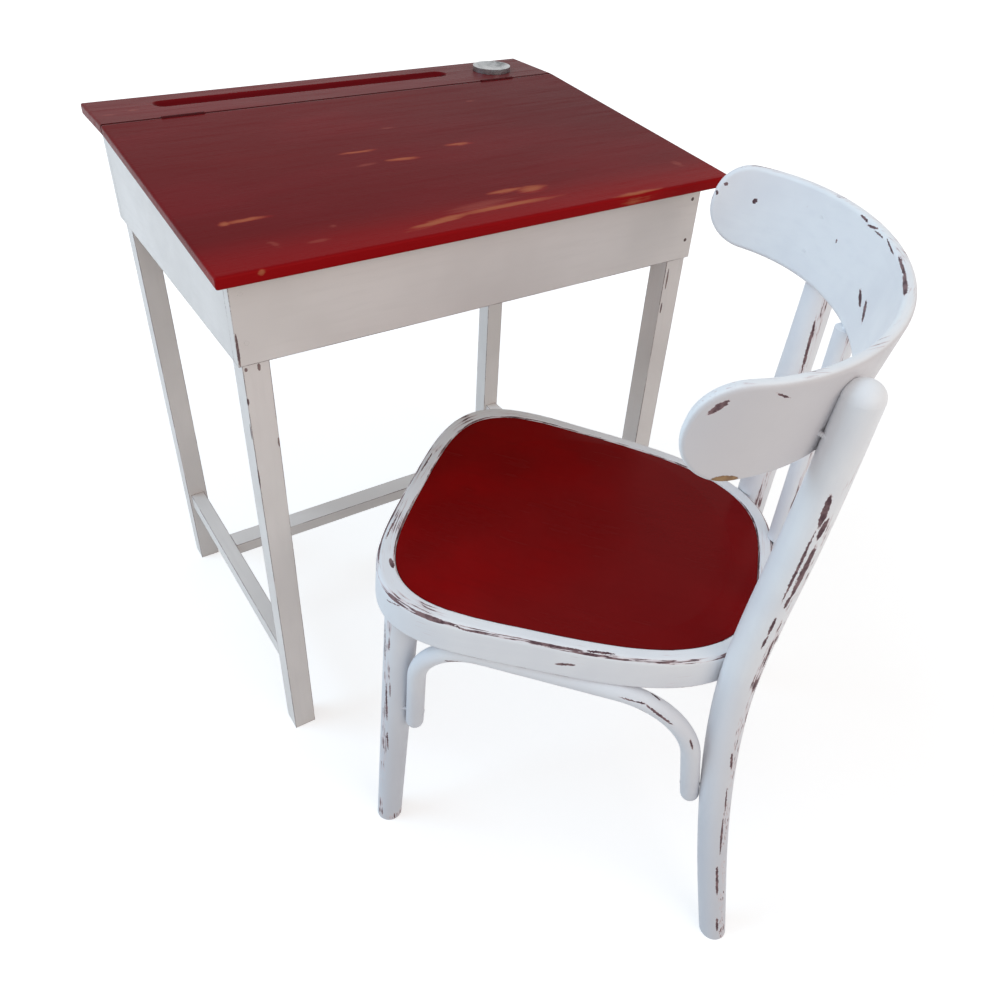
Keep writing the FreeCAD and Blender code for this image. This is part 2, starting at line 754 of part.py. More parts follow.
def seat_point(inset, turn, height=0):
    """A point of the seat's outline, which is squarer in front than behind, in from the ring's edge by inset."""
    reach, power = (size.seat_front, SEAT_FRONT_POWER)
    if math.sin(turn) < 0:
        reach, power = (size.seat_back, SEAT_BACK_POWER)
    across = math.copysign(abs(math.cos(turn)) ** (2 / power), math.cos(turn))
    ahead = float(reach - inset) * math.copysign(abs(math.sin(turn)) ** (2 / power), math.sin(turn))
    taper = 1 + SEAT_TAPER_SHARE * ahead / float(size.seat_front)
    return Vector(float(size.seat_half_width - inset) * across * taper, ahead, float(height))


def seat_outline(inset, height):
    turns = [2 * math.pi * k / SEAT_OUTLINE_POINTS for k in range(SEAT_OUTLINE_POINTS)]
    curve = Part.BSplineCurve()
    curve.interpolate([seat_point(inset, turn, height) for turn in turns], PeriodicFlag=True)
    return Part.Wire([curve.toShape()])


def seat_prism(inset, low, high):
    return Part.Face(seat_outline(inset, low)).extrude(Vector(0, 0, float(high - low)))


def seat_edge(shape, inset, height):
    """The edge of a shape that follows the seat's outline at a height; it starts at the seat's right."""
    start = vector((size.seat_half_width - inset, 0, height))
    near = float(size.joint_clearance)
    closed = [edge for edge in shape.Edges if len(edge.Vertexes) == 1]
    return [edge for edge in closed if edge.Vertexes[0].Point.distanceToPoint(start) < near]


seat_rim = size.ring_border
panel_seat = size.seat_height - size.panel_sink - size.panel_sheet
ring_blank = seat_prism(0, ring_bottom, size.seat_height)
ring_shape = ring_blank.cut(seat_prism(seat_rim + size.ring_ledge, ring_bottom - size.cut_overrun, size.seat_height))
ring_shape = ring_shape.cut(seat_prism(seat_rim, panel_seat, size.seat_height + size.cut_overrun))
ring_shape = ring_shape.makeFillet(float(size.ring_round), seat_edge(ring_shape, 0, size.seat_height))
ring_shape = ring_shape.makeFillet(float(size.ring_inner_round), seat_edge(ring_shape, seat_rim, size.seat_height))
ring_shape = ring_shape.makeFillet(float(size.ring_inner_round), seat_edge(ring_shape, 0, ring_bottom))

panel_top = panel_seat + size.panel_sheet
panel_shape = seat_prism(seat_rim + size.panel_gap, panel_seat, panel_top)
dish_ball = (size.dish_reach * size.dish_reach + size.dish_depth * size.dish_depth) / (2 * size.dish_depth)
dish_middle = (size.seat_front - size.seat_back) / 2
dish = Part.makeSphere(float(dish_ball), vector((0, dish_middle, panel_top - size.dish_depth + dish_ball)))
label(solid("seat_panel", panel_shape.cut(dish)), "seat_panel", chair_frame * seat_place)


def loft(name, stations):
    """A round rod through level circles: each station is a place and a radius."""
    circles = []
    for k, (place, radius) in enumerate(stations, start=1):
        circle = doc.addObject("Part::Circle", f"{name}_ring_{k}")
        bind(circle, "Radius", radius)
        bind_place(circle, place)
        circles.append(circle)
    rod = doc.addObject("Part::Loft", f"{name}_rod")
    rod.Sections = circles
    rod.Solid = True
    return rod


# Back posts: the places that they pass through on the right, as distances out, back and up
corner_turn = -math.radians(POST_CORNER_DEGREES)
ring_hole_point = seat_point(size.ring_border + size.ring_ledge, corner_turn)
ring_edge_point = seat_point(0, corner_turn)
post_way = (ring_edge_point - ring_hole_point).normalize()
post_middle = ring_edge_point + post_way * float(size.post_seat_radius - size.post_lap)
post_seat = (as_size(post_middle.x), as_size(-post_middle.y), ring_under(post_middle.y))
post_top_out = size.board_half_width * POST_TOP_SHARE
post_top_back = (size.board_wing + size.board_lean * size.post_top_rise / size.board_height
                 + size.board_depth * math.sqrt(1 - POST_TOP_SHARE ** 2) + size.post_top_radius)
post_top = (post_top_out, post_top_back, board_bottom + size.post_top_rise)


def below_seat(shares):
    height, out, back = shares
    return (post_seat[0] + size.post_splay_out * out, post_seat[1] + size.post_splay_back * back,
            post_seat[2] * height)


def above_seat(shares):
    rise, out, back = shares
    return (post_seat[0] + (post_top[0] - post_seat[0]) * out, post_seat[1] + (post_top[1] - post_seat[1]) * back,
            post_seat[2] + (board_bottom - post_seat[2]) * rise)


post_shin = below_seat(POST_SHIN_SHARES)
post_knee = below_seat(POST_KNEE_SHARES)
post_stations = [
    (below_seat((0, 1, 1)), size.post_foot_radius),
    (post_shin, size.post_shin_radius),
    (post_knee, size.post_knee_radius),
    (post_seat, size.post_seat_radius),
    (above_seat(POST_WAIST_SHARES), size.post_waist_radius),
    (above_seat(POST_NECK_SHARES), size.post_neck_radius),
    (post_top, size.post_top_radius),
]

# Screws of the chair: places first, because the pieces make room for them
chair_screw_head = (size.chair_screw_head, size.chair_screw_head_height, size.chair_screw_radius)
post_screw = (*chair_screw_head, size.post_screw_length)
board_screw = (*chair_screw_head, size.board_screw_length)
brace_screw = (*chair_screw_head, size.brace_screw_length)
post_screws = []
for _, side in SIDES:
    height = ring_under(post_middle.y) + (panel_seat - ring_bottom) / 2
    post_screws.append(((side * ring_hole_point.x, ring_hole_point.y, height),
                        Vector(side * post_way.x, post_way.y, 0)))

board_middle = board_bottom + size.board_height / 2
board_screws = []
for _, side in SIDES:
    for step in (-1, 1):
        rise = step * size.board_screw_spread / 2
        lean = size.board_lean * (size.board_height / 2 + rise) / size.board_height
        out = post_top_out - size.board_thickness
        part_out = float(out / size.board_half_width)
        inner_depth = size.board_depth - size.board_thickness
        part_back = math.sqrt(1 - (float(out) / float(size.board_half_width - size.board_thickness)) ** 2)
        way = Vector(side * part_out / float(size.board_half_width), -part_back / float(size.board_depth), 0)
        way.normalize()
        start = (side * out, -size.board_wing - lean - inner_depth * part_back, board_middle + rise)
        board_screws.append((start, way))


# Front legs of the chair, and where the side braces lie between them, the ring and the posts
leg_top_out = size.seat_half_width - size.chair_leg_side_inset
leg_top_front = size.seat_front - size.chair_leg_front_inset
leg_top = ring_under(leg_top_front)


def leg_line(height):
    """A front leg at a height: its middle's distance out and forward, and its radius."""
    down_share = 1 - height / leg_top
    return (leg_top_out + size.chair_leg_splay_out * down_share,
            leg_top_front + size.chair_leg_splay_front * down_share,
            size.chair_leg_top_radius + (size.chair_leg_foot_radius - size.chair_leg_top_radius) * down_share)


def post_line(height):
    """A back post near its knee at a height: its middle's distance out and back, and its radius."""
    share = (height - post_shin[2]) / (post_knee[2] - post_shin[2])
    return (post_shin[0] + (post_knee[0] - post_shin[0]) * share, post_shin[1] + (post_knee[1] - post_shin[1]) * share,
            size.post_shin_radius + (size.post_knee_radius - size.post_shin_radius) * share)


def rounded_path(points, radii):
    """A path of straight runs with an arc of the given radius at each inner point."""
    edges = []
    start = points[0]
    for before, corner, after, radius in zip(points, points[1:], points[2:], radii):
        way_in = (corner - before).normalize()
        way_out = (after - corner).normalize()
        half_turn = way_in.getAngle(way_out) / 2
        reach = radius * math.tan(half_turn)
        arc_start = corner - way_in * reach
        arc_stop = corner + way_out * reach
        inward = (way_out - way_in).normalize()
        arc_middle = corner + inward * (radius / math.cos(half_turn) - radius)
        edges.append(Part.LineSegment(start, arc_start).toShape())
        edges.append(Part.Arc(arc_start, arc_middle, arc_stop).toShape())
        start = arc_stop
    edges.append(Part.LineSegment(start, points[-1]).toShape())
    return edges


def brace_run(forward):
    """Height of a brace's middle where it runs along the ring's underside."""
    return ring_under(forward) - (size.brace_radius + size.brace_gap) / math.cos(seat_tilt)


def brace_beside(line, height, across, gap):
    """How far a brace's middle lies from a rod's middle along the seat, when it is this far across from it."""
    reach = line(height)[2] + size.brace_radius + gap
    return root(reach * reach - across * across)


front_tip = leg_top - size.brace_front_drop
rear_tip = post_seat[2] - size.brace_rear_drop
front_off = brace_beside(leg_line, front_tip, size.brace_leg_offset, size.brace_gap)
rear_off = brace_beside(post_line, rear_tip, size.brace_post_offset, size.brace_post_gap)
front_corner = leg_line(leg_top)[1] - front_off
rear_corner = rear_off - post_line(brace_run(-post_seat[1]))[1]
brace_points = [
    (leg_line(front_tip)[0] + size.brace_leg_offset, leg_line(front_tip)[1] - front_off, front_tip),
    (size.seat_half_width - size.brace_front_inset, front_corner, brace_run(front_corner)),
    (size.seat_half_width - size.brace_rear_inset, rear_corner, brace_run(rear_corner)),
    (post_line(rear_tip)[0] - size.brace_post_offset, rear_off - post_line(rear_tip)[1], rear_tip),
]


def brace_rod(side):
    points = [Vector(side * place.x, place.y, place.z) for place in map(vector, brace_points)]
    path = Part.Wire(rounded_path(points, [float(size.brace_front_bend), float(size.brace_rear_bend)]))
    radius = float(size.brace_radius)
    section = Part.Wire([Part.makeCircle(radius, points[0], (points[1] - points[0]).normalize())])
    rod = path.makePipeShell([section], True, True)
    return rod.fuse([Part.makeSphere(radius, points[0]), Part.makeSphere(radius, points[-1])]).removeSplitter()


def between(first, second, share):
    return tuple(a + (b - a) * share for a, b in zip(first, second))


def brace_screw_places(side):
    """One screw into the leg, one up into the ring and one into the post."""
    front, front_top, rear_top, rear = brace_points
    rise = size.brace_screw_rise / 2
    at_leg = between(front, front_top, rise / (front_top[2] - front[2]))
    at_ring = between(front_top, rear_top, 1 / 2)
    at_post = between(rear, rear_top, rise / (rear_top[2] - rear[2]))
    return [((side * at_leg[0], at_leg[1] - size.brace_radius, at_leg[2]), REAR),
            ((side * at_ring[0], at_ring[1], at_ring[2] - size.brace_radius), UP),
            ((side * at_post[0], at_post[1] + size.brace_radius, at_post[2]), -REAR)]


brace_screws = {hand: brace_screw_places(side) for hand, side in SIDES}


def screw_room(name, places, sizes):
    """Solids a little larger than the screws, for the pieces that they go through."""
    head_radius, head_height, radius, length = sizes
    gap = size.screw_clearance
    return [fastener(f"{name}_{k}", start, way, (head_radius + gap, head_height, radius + gap, length + gap))
            for k, (start, way) in enumerate(places, start=1)]


all_brace_screws = brace_screws["left"] + brace_screws["right"]
fastener_group("post_screws", chair_frame, post_screws, post_screw)
fastener_group("board_screws", chair_frame, board_screws, board_screw)
fastener_group("brace_screws", chair_frame, all_brace_screws, brace_screw)
post_room = screw_room("post_screw_room", post_screws, post_screw)
board_room = screw_room("board_screw_room", board_screws, board_screw)
brace_room = screw_room("brace_screw_room", all_brace_screws, brace_screw)

# Seat ring, drilled for the legs' dowels and the screws
dowel_base = leg_top - size.cut_overrun
dowel_room = [cylinder(f"dowel_room_{hand}", (side * leg_top_out, leg_top_front, dowel_base), UP,
                       size.dowel_radius + size.joint_clearance,
                       size.dowel_length + size.cut_overrun + size.joint_clearance)
              for hand, side in SIDES]
ring_bent = solid("seat_ring_bent", ring_shape)
ring_bent.Placement = seat_place
cut("seat_ring", chair_frame, ring_bent, dowel_room + post_room + brace_room)
ring_room = solid("ring_room", seat_prism(-size.joint_clearance, ring_bottom - size.joint_clearance,
                                          size.seat_height + size.joint_clearance))
ring_room.Placement = seat_place


def less(name, base, tool):
    piece = doc.addObject("Part::Cut", name)
    piece.Base = base
    piece.Tool = tool
    return piece


def joined(name, base, tool):
    piece = doc.addObject("Part::Fuse", name)
    piece.Base = base
    piece.Tool = tool
    return piece


# Front legs, scribed to the ring's underside, with their dowels
for hand, side in SIDES:
    name = f"chair_leg_front_{hand}"
    foot = (side * leg_line(as_size(0))[0], leg_line(as_size(0))[1], 0)
    top = (side * leg_top_out, leg_top_front, leg_top + size.cut_overrun)
    rod = loft(name, [(foot, size.chair_leg_foot_radius), (top, size.chair_leg_top_radius)])
    dowel = cylinder(f"{name}_dowel", (top[0], top[1], dowel_base), UP, size.dowel_radius,
                     size.dowel_length + size.cut_overrun)
    cut(name, chair_frame, joined(f"{name}_whole", less(f"{name}_scribed", rod, ring_room), dowel), brace_room)

# Back board: a half ellipse in plan, leaning back, with rounded wing ends and edges
def board_prism(inset, low, high):
    """Everything inside the board's outer or inner face, between two shares of its height."""
    half = float(size.board_half_width - inset)
    depth = float(size.board_depth - inset)
    start = vector((0, -size.board_wing - size.board_lean * low, board_bottom + size.board_height * low))
    bow = Part.Ellipse(start, half, depth) if half > depth else None
    arc = Part.ArcOfEllipse(bow, math.pi, 2 * math.pi).toShape()
    chord = Part.LineSegment(start + Vector(half, 0, 0), start - Vector(half, 0, 0)).toShape()
    lift = vector((0, -size.board_lean * (high - low), size.board_height * (high - low)))
    return Part.Face(Part.Wire([arc, chord])).extrude(lift)


def board_wings():
    """A slab across the chair whose front corners are rounded like the wings' ends."""
    reach = float(size.board_half_width + size.cut_overrun)
    far = size.board_depth + size.board_wing
    low = Vector(-reach, -float(size.board_wing), float(board_bottom))
    lift = vector((0, -size.board_lean, size.board_height))
    back = Vector(0, -float(far), 0)
    corner = float(size.board_corner)
    edges = rounded_path([low + back, low, low + lift, low + lift + back], [corner, corner])
    edges.append(Part.LineSegment(low + lift + back, low + back).toShape())
    slab = Part.Face(Part.Wire(edges)).extrude(Vector(2 * reach, 0, 0))
    slab.rotate(vector((size.board_half_width, -size.board_wing, 0)), UP, WING_SKEW_DEGREES)
    return slab


board_shape = board_prism(0, 0, 1).cut(board_prism(size.board_thickness, *BOARD_LAP_SHARES)).common(board_wings())
wall = float(size.board_thickness)
board_shape = board_shape.makeFillet(float(size.board_round),
                                     [edge for edge in board_shape.Edges if edge.Length > 2 * wall])
board_foot = -size.board_wing - size.board_depth * math.sqrt(
    1 - (float(size.spindle_out) / float(size.board_half_width)) ** 2) + size.board_thickness / 2
lean_way = vector((0, -size.board_lean, size.board_height)).normalize()


def spindle_tenon(name, side, gap):
    """A spindle's tenon in the board, which leans with it, with a gap all round."""
    base = (side * size.spindle_out, board_foot, board_bottom)
    return cylinder(name, along(base, lean_way, -size.cut_overrun), lean_way, size.spindle_tenon_radius + gap,
                    size.spindle_tenon_length + size.cut_overrun + gap)


tenon_room = [spindle_tenon(f"tenon_room_{hand}", side, size.joint_clearance) for hand, side in SIDES]
cut("back_board", chair_frame, solid("back_board_bent", board_shape), tenon_room + board_room)

# Back posts, notched where they lap the seat ring and the board
board_lap = solid("board_lap", board_prism(-size.joint_clearance, *BOARD_LAP_SHARES))
for hand, side in SIDES:
    name = f"back_post_{hand}"
    stations = [((side * out, -back, height), radius) for (out, back, height), radius in post_stations]
    dome = doc.addObject("Part::Ellipsoid", f"{name}_dome")
    bind(dome, "Radius1", size.post_dome)
    bind(dome, "Radius2", size.post_top_radius)
    bind(dome, "Radius3", size.post_top_radius)
    dome.Angle1 = 0
    bind_place(dome, stations[-1][0])
    bent = joined(f"{name}_bent", loft(name, stations), dome)
    cut(name, chair_frame, bent, [ring_room, board_lap] + post_room + board_room + brace_room)

# Spindles, notched at the ring and tenoned into the board's lower edge
spindle_foot_back = size.seat_back + size.spindle_setback
for hand, side in SIDES:
    name = f"back_spindle_{hand}"
    foot = (side * size.spindle_out, -spindle_foot_back, ring_under(-spindle_foot_back) + size.spindle_foot_rise)
    top = (side * size.spindle_out, board_foot, board_bottom - size.joint_clearance)
    rod = loft(name, [(foot, size.spindle_radius), (top, size.spindle_radius)])
    whole = joined(f"{name}_whole", rod, spindle_tenon(f"{name}_tenon", side, 0))
    cut(name, chair_frame, whole, [ring_room])

for hand, side in SIDES:
    cut(f"side_brace_{hand}", chair_frame, solid(f"side_brace_{hand}_bent", brace_rod(side)),
        screw_room(f"side_brace_{hand}_screw_room", brace_screws[hand], brace_screw))

# Check the document, then write each piece
doc.recompute()
for thing in doc.Objects:
    if "Invalid" in thing.State or "Error" in thing.State:
        raise RuntimeError(f"{thing.Label} failed: {thing.State}")
for piece in pieces:
    if piece.Shape.isNull() or not piece.Shape.isValid() or not piece.Shape.Solids:
        raise RuntimeError(f"{piece.Label} has no valid shape")
os.makedirs("parts", exist_ok=True)
for piece in pieces:
    piece.Shape.exportStep(f"parts/{piece.Label}.step")
whole = Part.makeCompound([piece.Shape for piece in pieces]).BoundBox
print(len(pieces), "pieces within", whole)
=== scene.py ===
"""Looks of a child's writing desk with a lifting lid, and of its bentwood chair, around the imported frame."""

import math

import bpy
from mathutils import Euler, Matrix, Vector
from mathutils.bvhtree import BVHTree

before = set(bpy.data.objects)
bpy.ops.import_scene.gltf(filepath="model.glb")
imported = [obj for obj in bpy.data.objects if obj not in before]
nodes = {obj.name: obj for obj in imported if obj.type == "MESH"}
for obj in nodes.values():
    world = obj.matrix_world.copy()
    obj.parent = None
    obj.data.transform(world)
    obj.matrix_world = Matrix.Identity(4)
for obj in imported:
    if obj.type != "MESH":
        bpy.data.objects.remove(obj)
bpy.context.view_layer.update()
scene = bpy.context.scene

# Places in the row's frame, in metres: the middle of the lid's front edge, and the middle of the chair's seat
DESK_PLACE = Vector((-0.0024, 0.0099, 0.0))
CHAIR_PLACE = Vector((-0.0133, -0.1477, 0.0))
CHAIR_TURN = math.radians(42.4)

# The photograph's size in pixels and its camera, with the sensor and the lens in millimetres
PHOTO_WIDTH = 994
PHOTO_HEIGHT = 995
CAMERA_PLACE = Vector((-0.50502, -0.72803, 1.01455)) + DESK_PLACE
CAMERA_TURN = Euler([math.radians(angle) for angle in (51.577, -2.3251, -32.1975)])
CAMERA_SENSOR = 36.0
CAMERA_LENS = 31.972
CAMERA_SHIFT = (0.01055, 0.0002)

# Sizes in metres that the wear, the bare wood inside the box and the painted shade follow, from the desk's and
# the chair's own middle
MILLIMETRES = 1000
SEAT_HALF_WIDTH = 0.1875
SEAT_FRONT = 0.183
SEAT_REAR = 0.226
SEAT_TAPER = 0.09
SEAT_POWER = 3.5
BOW_HALF_WIDTH = 0.238
BOW_DEPTH = 0.166
BOW_BEHIND = 0.074
BOARD_LOW = 0.641
BOARD_SLOPE = 0.018 / 0.085
BOX_HALF_WIDTH = 0.2796
BOX_HALF_DEPTH = 0.2056
BOX_MIDDLE = 0.246
BOX_FLOOR = 0.589
GROOVE_MIDDLE = (-0.034, 0.426)
GROOVE_HALF_LENGTH = 0.2020
GROOVE_HALF_WIDTH = 0.0135
LID_JOINT = 0.3695

# Half lengths of a scar's fading spot in metres, for each millimetre of its length or half width
SCAR_REACH = 1 / 1500

# Gloss of each paint, as the shader's specular level
WHITE_GLOSS = 0.25
TOP_GLOSS = 0.025
SEAT_GLOSS = 0.04
HINGE_GLOSS = 0.1


# Shader helpers

def colour(red, green, blue):
    """A colour as it is read off a picture, 0 to 255, in the linear form that shaders take."""
    def linear(level):
        level /= 255
        return level / 12.92 if level <= 0.04045 else ((level + 0.055) / 1.055) ** 2.4
    return (linear(red), linear(green), linear(blue), 1.0)


class Graph:
    """The nodes of one material."""

    def __init__(self, name):
        self.material = bpy.data.materials.new(name)
        self.material.use_nodes = True
        self.tree = self.material.node_tree
        self.shader = self.tree.nodes["Principled BSDF"]
        places = self.add("ShaderNodeTexCoord").outputs
        self.object_place = places["Object"]
        self.object_normal = places["Normal"]

    def add(self, kind):
        return self.tree.nodes.new(kind)

    def put(self, socket, value):
        if isinstance(value, bpy.types.NodeSocket):
            self.tree.links.new(value, socket)
        else:
            socket.default_value = value

    def set(self, name, value):
        self.put(self.shader.inputs[name], value)

    def math(self, operation, first, second=0.0, clamp=False):
        node = self.add("ShaderNodeMath")
        node.operation = operation
        node.use_clamp = clamp
        self.put(node.inputs[0], first)
        self.put(node.inputs[1], second)
        return node.outputs[0]

    def times(self, first, second):
        return self.math("MULTIPLY", first, second)

    def plus(self, *terms):
        total = terms[0]
        for term in terms[1:]:
            total = self.math("ADD", total, term)
        return total

    def most(self, first, second):
        return self.math("MAXIMUM", first, second)

    def blend(self, amount, first, second):
        node = self.add("ShaderNodeMix")
        node.data_type = "RGBA"
        self.put(node.inputs["Factor"], amount)
        self.put(node.inputs["A"], first)
        self.put(node.inputs["B"], second)
        return node.outputs["Result"]

    def local(self, where, place=(0, 0, 0), turn=(0, 0, 0), scale=(1, 1, 1)):
        """Coordinates seen from a frame that stands at a place, turned and scaled."""
        node = self.add("ShaderNodeMapping")
        node.vector_type = "TEXTURE"
        self.put(node.inputs["Vector"], where)
        node.inputs["Location"].default_value = place
        node.inputs["Rotation"].default_value = turn
        node.inputs["Scale"].default_value = scale
        return node.outputs["Vector"]

    def desk(self):
        return self.local(self.object_place, DESK_PLACE)

    def chair(self):
        return self.local(self.object_place, CHAIR_PLACE, (0, 0, CHAIR_TURN))

    def chair_normal(self):
        node = self.add("ShaderNodeVectorRotate")
        node.rotation_type = "Z_AXIS"
        node.inputs["Angle"].default_value = -CHAIR_TURN
        self.put(node.inputs["Vector"], self.object_normal)
        return node.outputs["Vector"]

    def noise(self, where, scale, detail=4.0, roughness=0.55, distortion=0.0, output="Fac"):
        node = self.add("ShaderNodeTexNoise")
        self.put(node.inputs["Vector"], where)
        node.inputs["Scale"].default_value = scale
        node.inputs["Detail"].default_value = detail
        node.inputs["Roughness"].default_value = roughness
        node.inputs["Distortion"].default_value = distortion
        return node.outputs[output]

    def ramp(self, value, low, high, bottom=0.0, top=1.0):
        """Smoothly from bottom to top as a value goes from low to high."""
        node = self.add("ShaderNodeMapRange")
        node.interpolation_type = "SMOOTHSTEP"
        self.put(node.inputs["Value"], value)
        node.inputs["From Min"].default_value = low
        node.inputs["From Max"].default_value = high
        node.inputs["To Min"].default_value = bottom
        node.inputs["To Max"].default_value = top
        return node.outputs["Result"]

    def split(self, where):
        node = self.add("ShaderNodeSeparateXYZ")
        self.put(node.inputs[0], where)
        return node.outputs

    def gather(self, x, y, z):
        node = self.add("ShaderNodeCombineXYZ")
        for socket, value in zip(node.inputs, (x, y, z)):
            self.put(socket, value)
        return node.outputs[0]

    def vector_math(self, operation, first, second, output="Vector"):
        node = self.add("ShaderNodeVectorMath")
        node.operation = operation
        self.put(node.inputs[0], first)
        self.put(node.inputs[1], second)
        return node.outputs[output]

    def dot(self, first, second):
        return self.vector_math("DOT_PRODUCT", first, second, "Value")

    def length(self, where):
        return self.vector_math("LENGTH", where, (0, 0, 0), "Value")

    def size(self, value):
        return self.math("ABSOLUTE", value)

    def gloss(self, level):
        self.shader.inputs["Specular IOR Level"].default_value = level

    def centred(self, value, gain):
        """A noise value moved to lie around 0, and made stronger."""
        return self.times(self.plus(value, -0.5), gain)

    def ruffled(self, where, scale, amount):
        """Coordinates pushed about by noise, so that the outline of a mark is ragged."""
        push = self.noise(where, scale, 4, 0.65, output="Color")
        push = self.vector_math("SUBTRACT", push, (0.5, 0.5, 0.5))
        push = self.vector_math("MULTIPLY", push, (amount, amount, amount))
        return self.vector_math("ADD", where, push)

    def spots(self, where, places):
        """The strongest of many spots, each a middle, a turn and three half lengths; 1 at a spot's middle."""
        total = None
        for middle, turn, reach in places:
            away = self.length(self.local(where, middle, turn, reach))
            near = self.math("SUBTRACT", 1.0, away, clamp=True)
            total = near if total is None else self.most(total, near)
        return total

    def soft_edges(self, radius):
        """The normal with the sharp edges rounded, and how near an edge is: 0 on a flat face."""
        bevel = self.add("ShaderNodeBevel")
        bevel.samples = 8
        bevel.inputs["Radius"].default_value = radius
        rounded = bevel.outputs["Normal"]
        flat = self.add("ShaderNodeNewGeometry").outputs["Normal"]
        return rounded, self.math("SUBTRACT", 1.0, self.dot(rounded, flat))

    def bump(self, height, strength, distance, normal=None):
        node = self.add("ShaderNodeBump")
        node.inputs["Strength"].default_value = strength
        node.inputs["Distance"].default_value = distance
        self.put(node.inputs["Height"], height)
        if normal is not None:
            self.put(node.inputs["Normal"], normal)
        self.set("Normal", node.outputs["Normal"])


def dress(names, material):
    for name in names:
        slots = nodes[name].data.materials
        slots.clear()
        slots.append(material)


def both(pattern):
    return [pattern.format(hand) for hand in ("left", "right")]


# Wear that the photograph shows: its pixels are carried onto the pieces along the camera's lines of sight

def sight(pixel):
    """The way from the camera through a pixel of the photograph."""
    across = (pixel[0] - PHOTO_WIDTH / 2) / PHOTO_HEIGHT + CAMERA_SHIFT[0]
    up = (PHOTO_HEIGHT / 2 - pixel[1]) / PHOTO_HEIGHT + CAMERA_SHIFT[1]
    way = Vector((across * CAMERA_SENSOR, up * CAMERA_SENSOR, -CAMERA_LENS))
    return (CAMERA_TURN.to_matrix() @ way).normalized()


def surfaces(names):
    """The surfaces of some pieces, as they stand at rest, to cast lines of sight onto."""
    found = []
    for name in names:
        mesh = nodes[name].data
        corners = [corner.co.copy() for corner in mesh.vertices]
        faces = [tuple(face.vertices) for face in mesh.polygons]
        found.append(BVHTree.FromPolygons(corners, faces))
    return found


def seen(pixel, pieces):
    """The nearest place that a pixel shows on some surfaces, or None where it shows none of them."""
    hits = [piece.ray_cast(CAMERA_PLACE, sight(pixel)) for piece in pieces]
    hits = [(distance, place) for place, normal, index, distance in hits if place is not None]
    return min(hits, key=lambda hit: hit[0])[1] if hits else None


def scars(names, lines):
    """Spots on chair pieces, each from one pixel to another with a half width in millimetres."""
    pieces = surfaces(names)
    turned = Matrix.Rotation(-CHAIR_TURN, 3, "Z")
    places = []
    for first, last, width in lines:
        start = seen(first, pieces)
        end = seen(last, pieces)
        if start is None or end is None:
            continue
        along = turned @ (end - start)
        middle = turned @ ((start + end) / 2 - CHAIR_PLACE)
        turn = (0, -math.asin(along.z / along.length), math.atan2(along.y, along.x))
        places.append((middle, turn, Vector((along.length * MILLIMETRES, width, width)) * SCAR_REACH))
    return places


def marks(names, spots):
    """Spots on desk pieces: a middle's pixel, three half lengths in millimetres and a turn in plan."""
    pieces = surfaces(names)
    places = []
    for pixel, reach, turn in spots:
        middle = seen(pixel, pieces)
        if middle is not None:
            places.append((middle - DESK_PLACE, (0, 0, math.radians(turn)), Vector(reach) / MILLIMETRES))
    return places


# White paint on the chair, rubbed through to brown, with painted shade towards the floor and on the board's
# outer face

CHAIR_WHITE = colour(245, 246, 248)
CHAIR_DULL = colour(236, 237, 241)
# The next two tones are painted shade: greyer paint towards the floor, and duller paint on the board's outer
# face
CHAIR_LOW_SHADE = colour(202, 203, 210)
CHAIR_OUTER_SHADE = colour(206, 201, 203)
PAINT_THIN = colour(216, 200, 202)
BROWN_DARK = colour(84, 60, 66)
BROWN_LIGHT = colour(134, 108, 110)
BARE_WOOD = colour(168, 134, 96)
BARE_WOOD_DARK = colour(134, 104, 78)


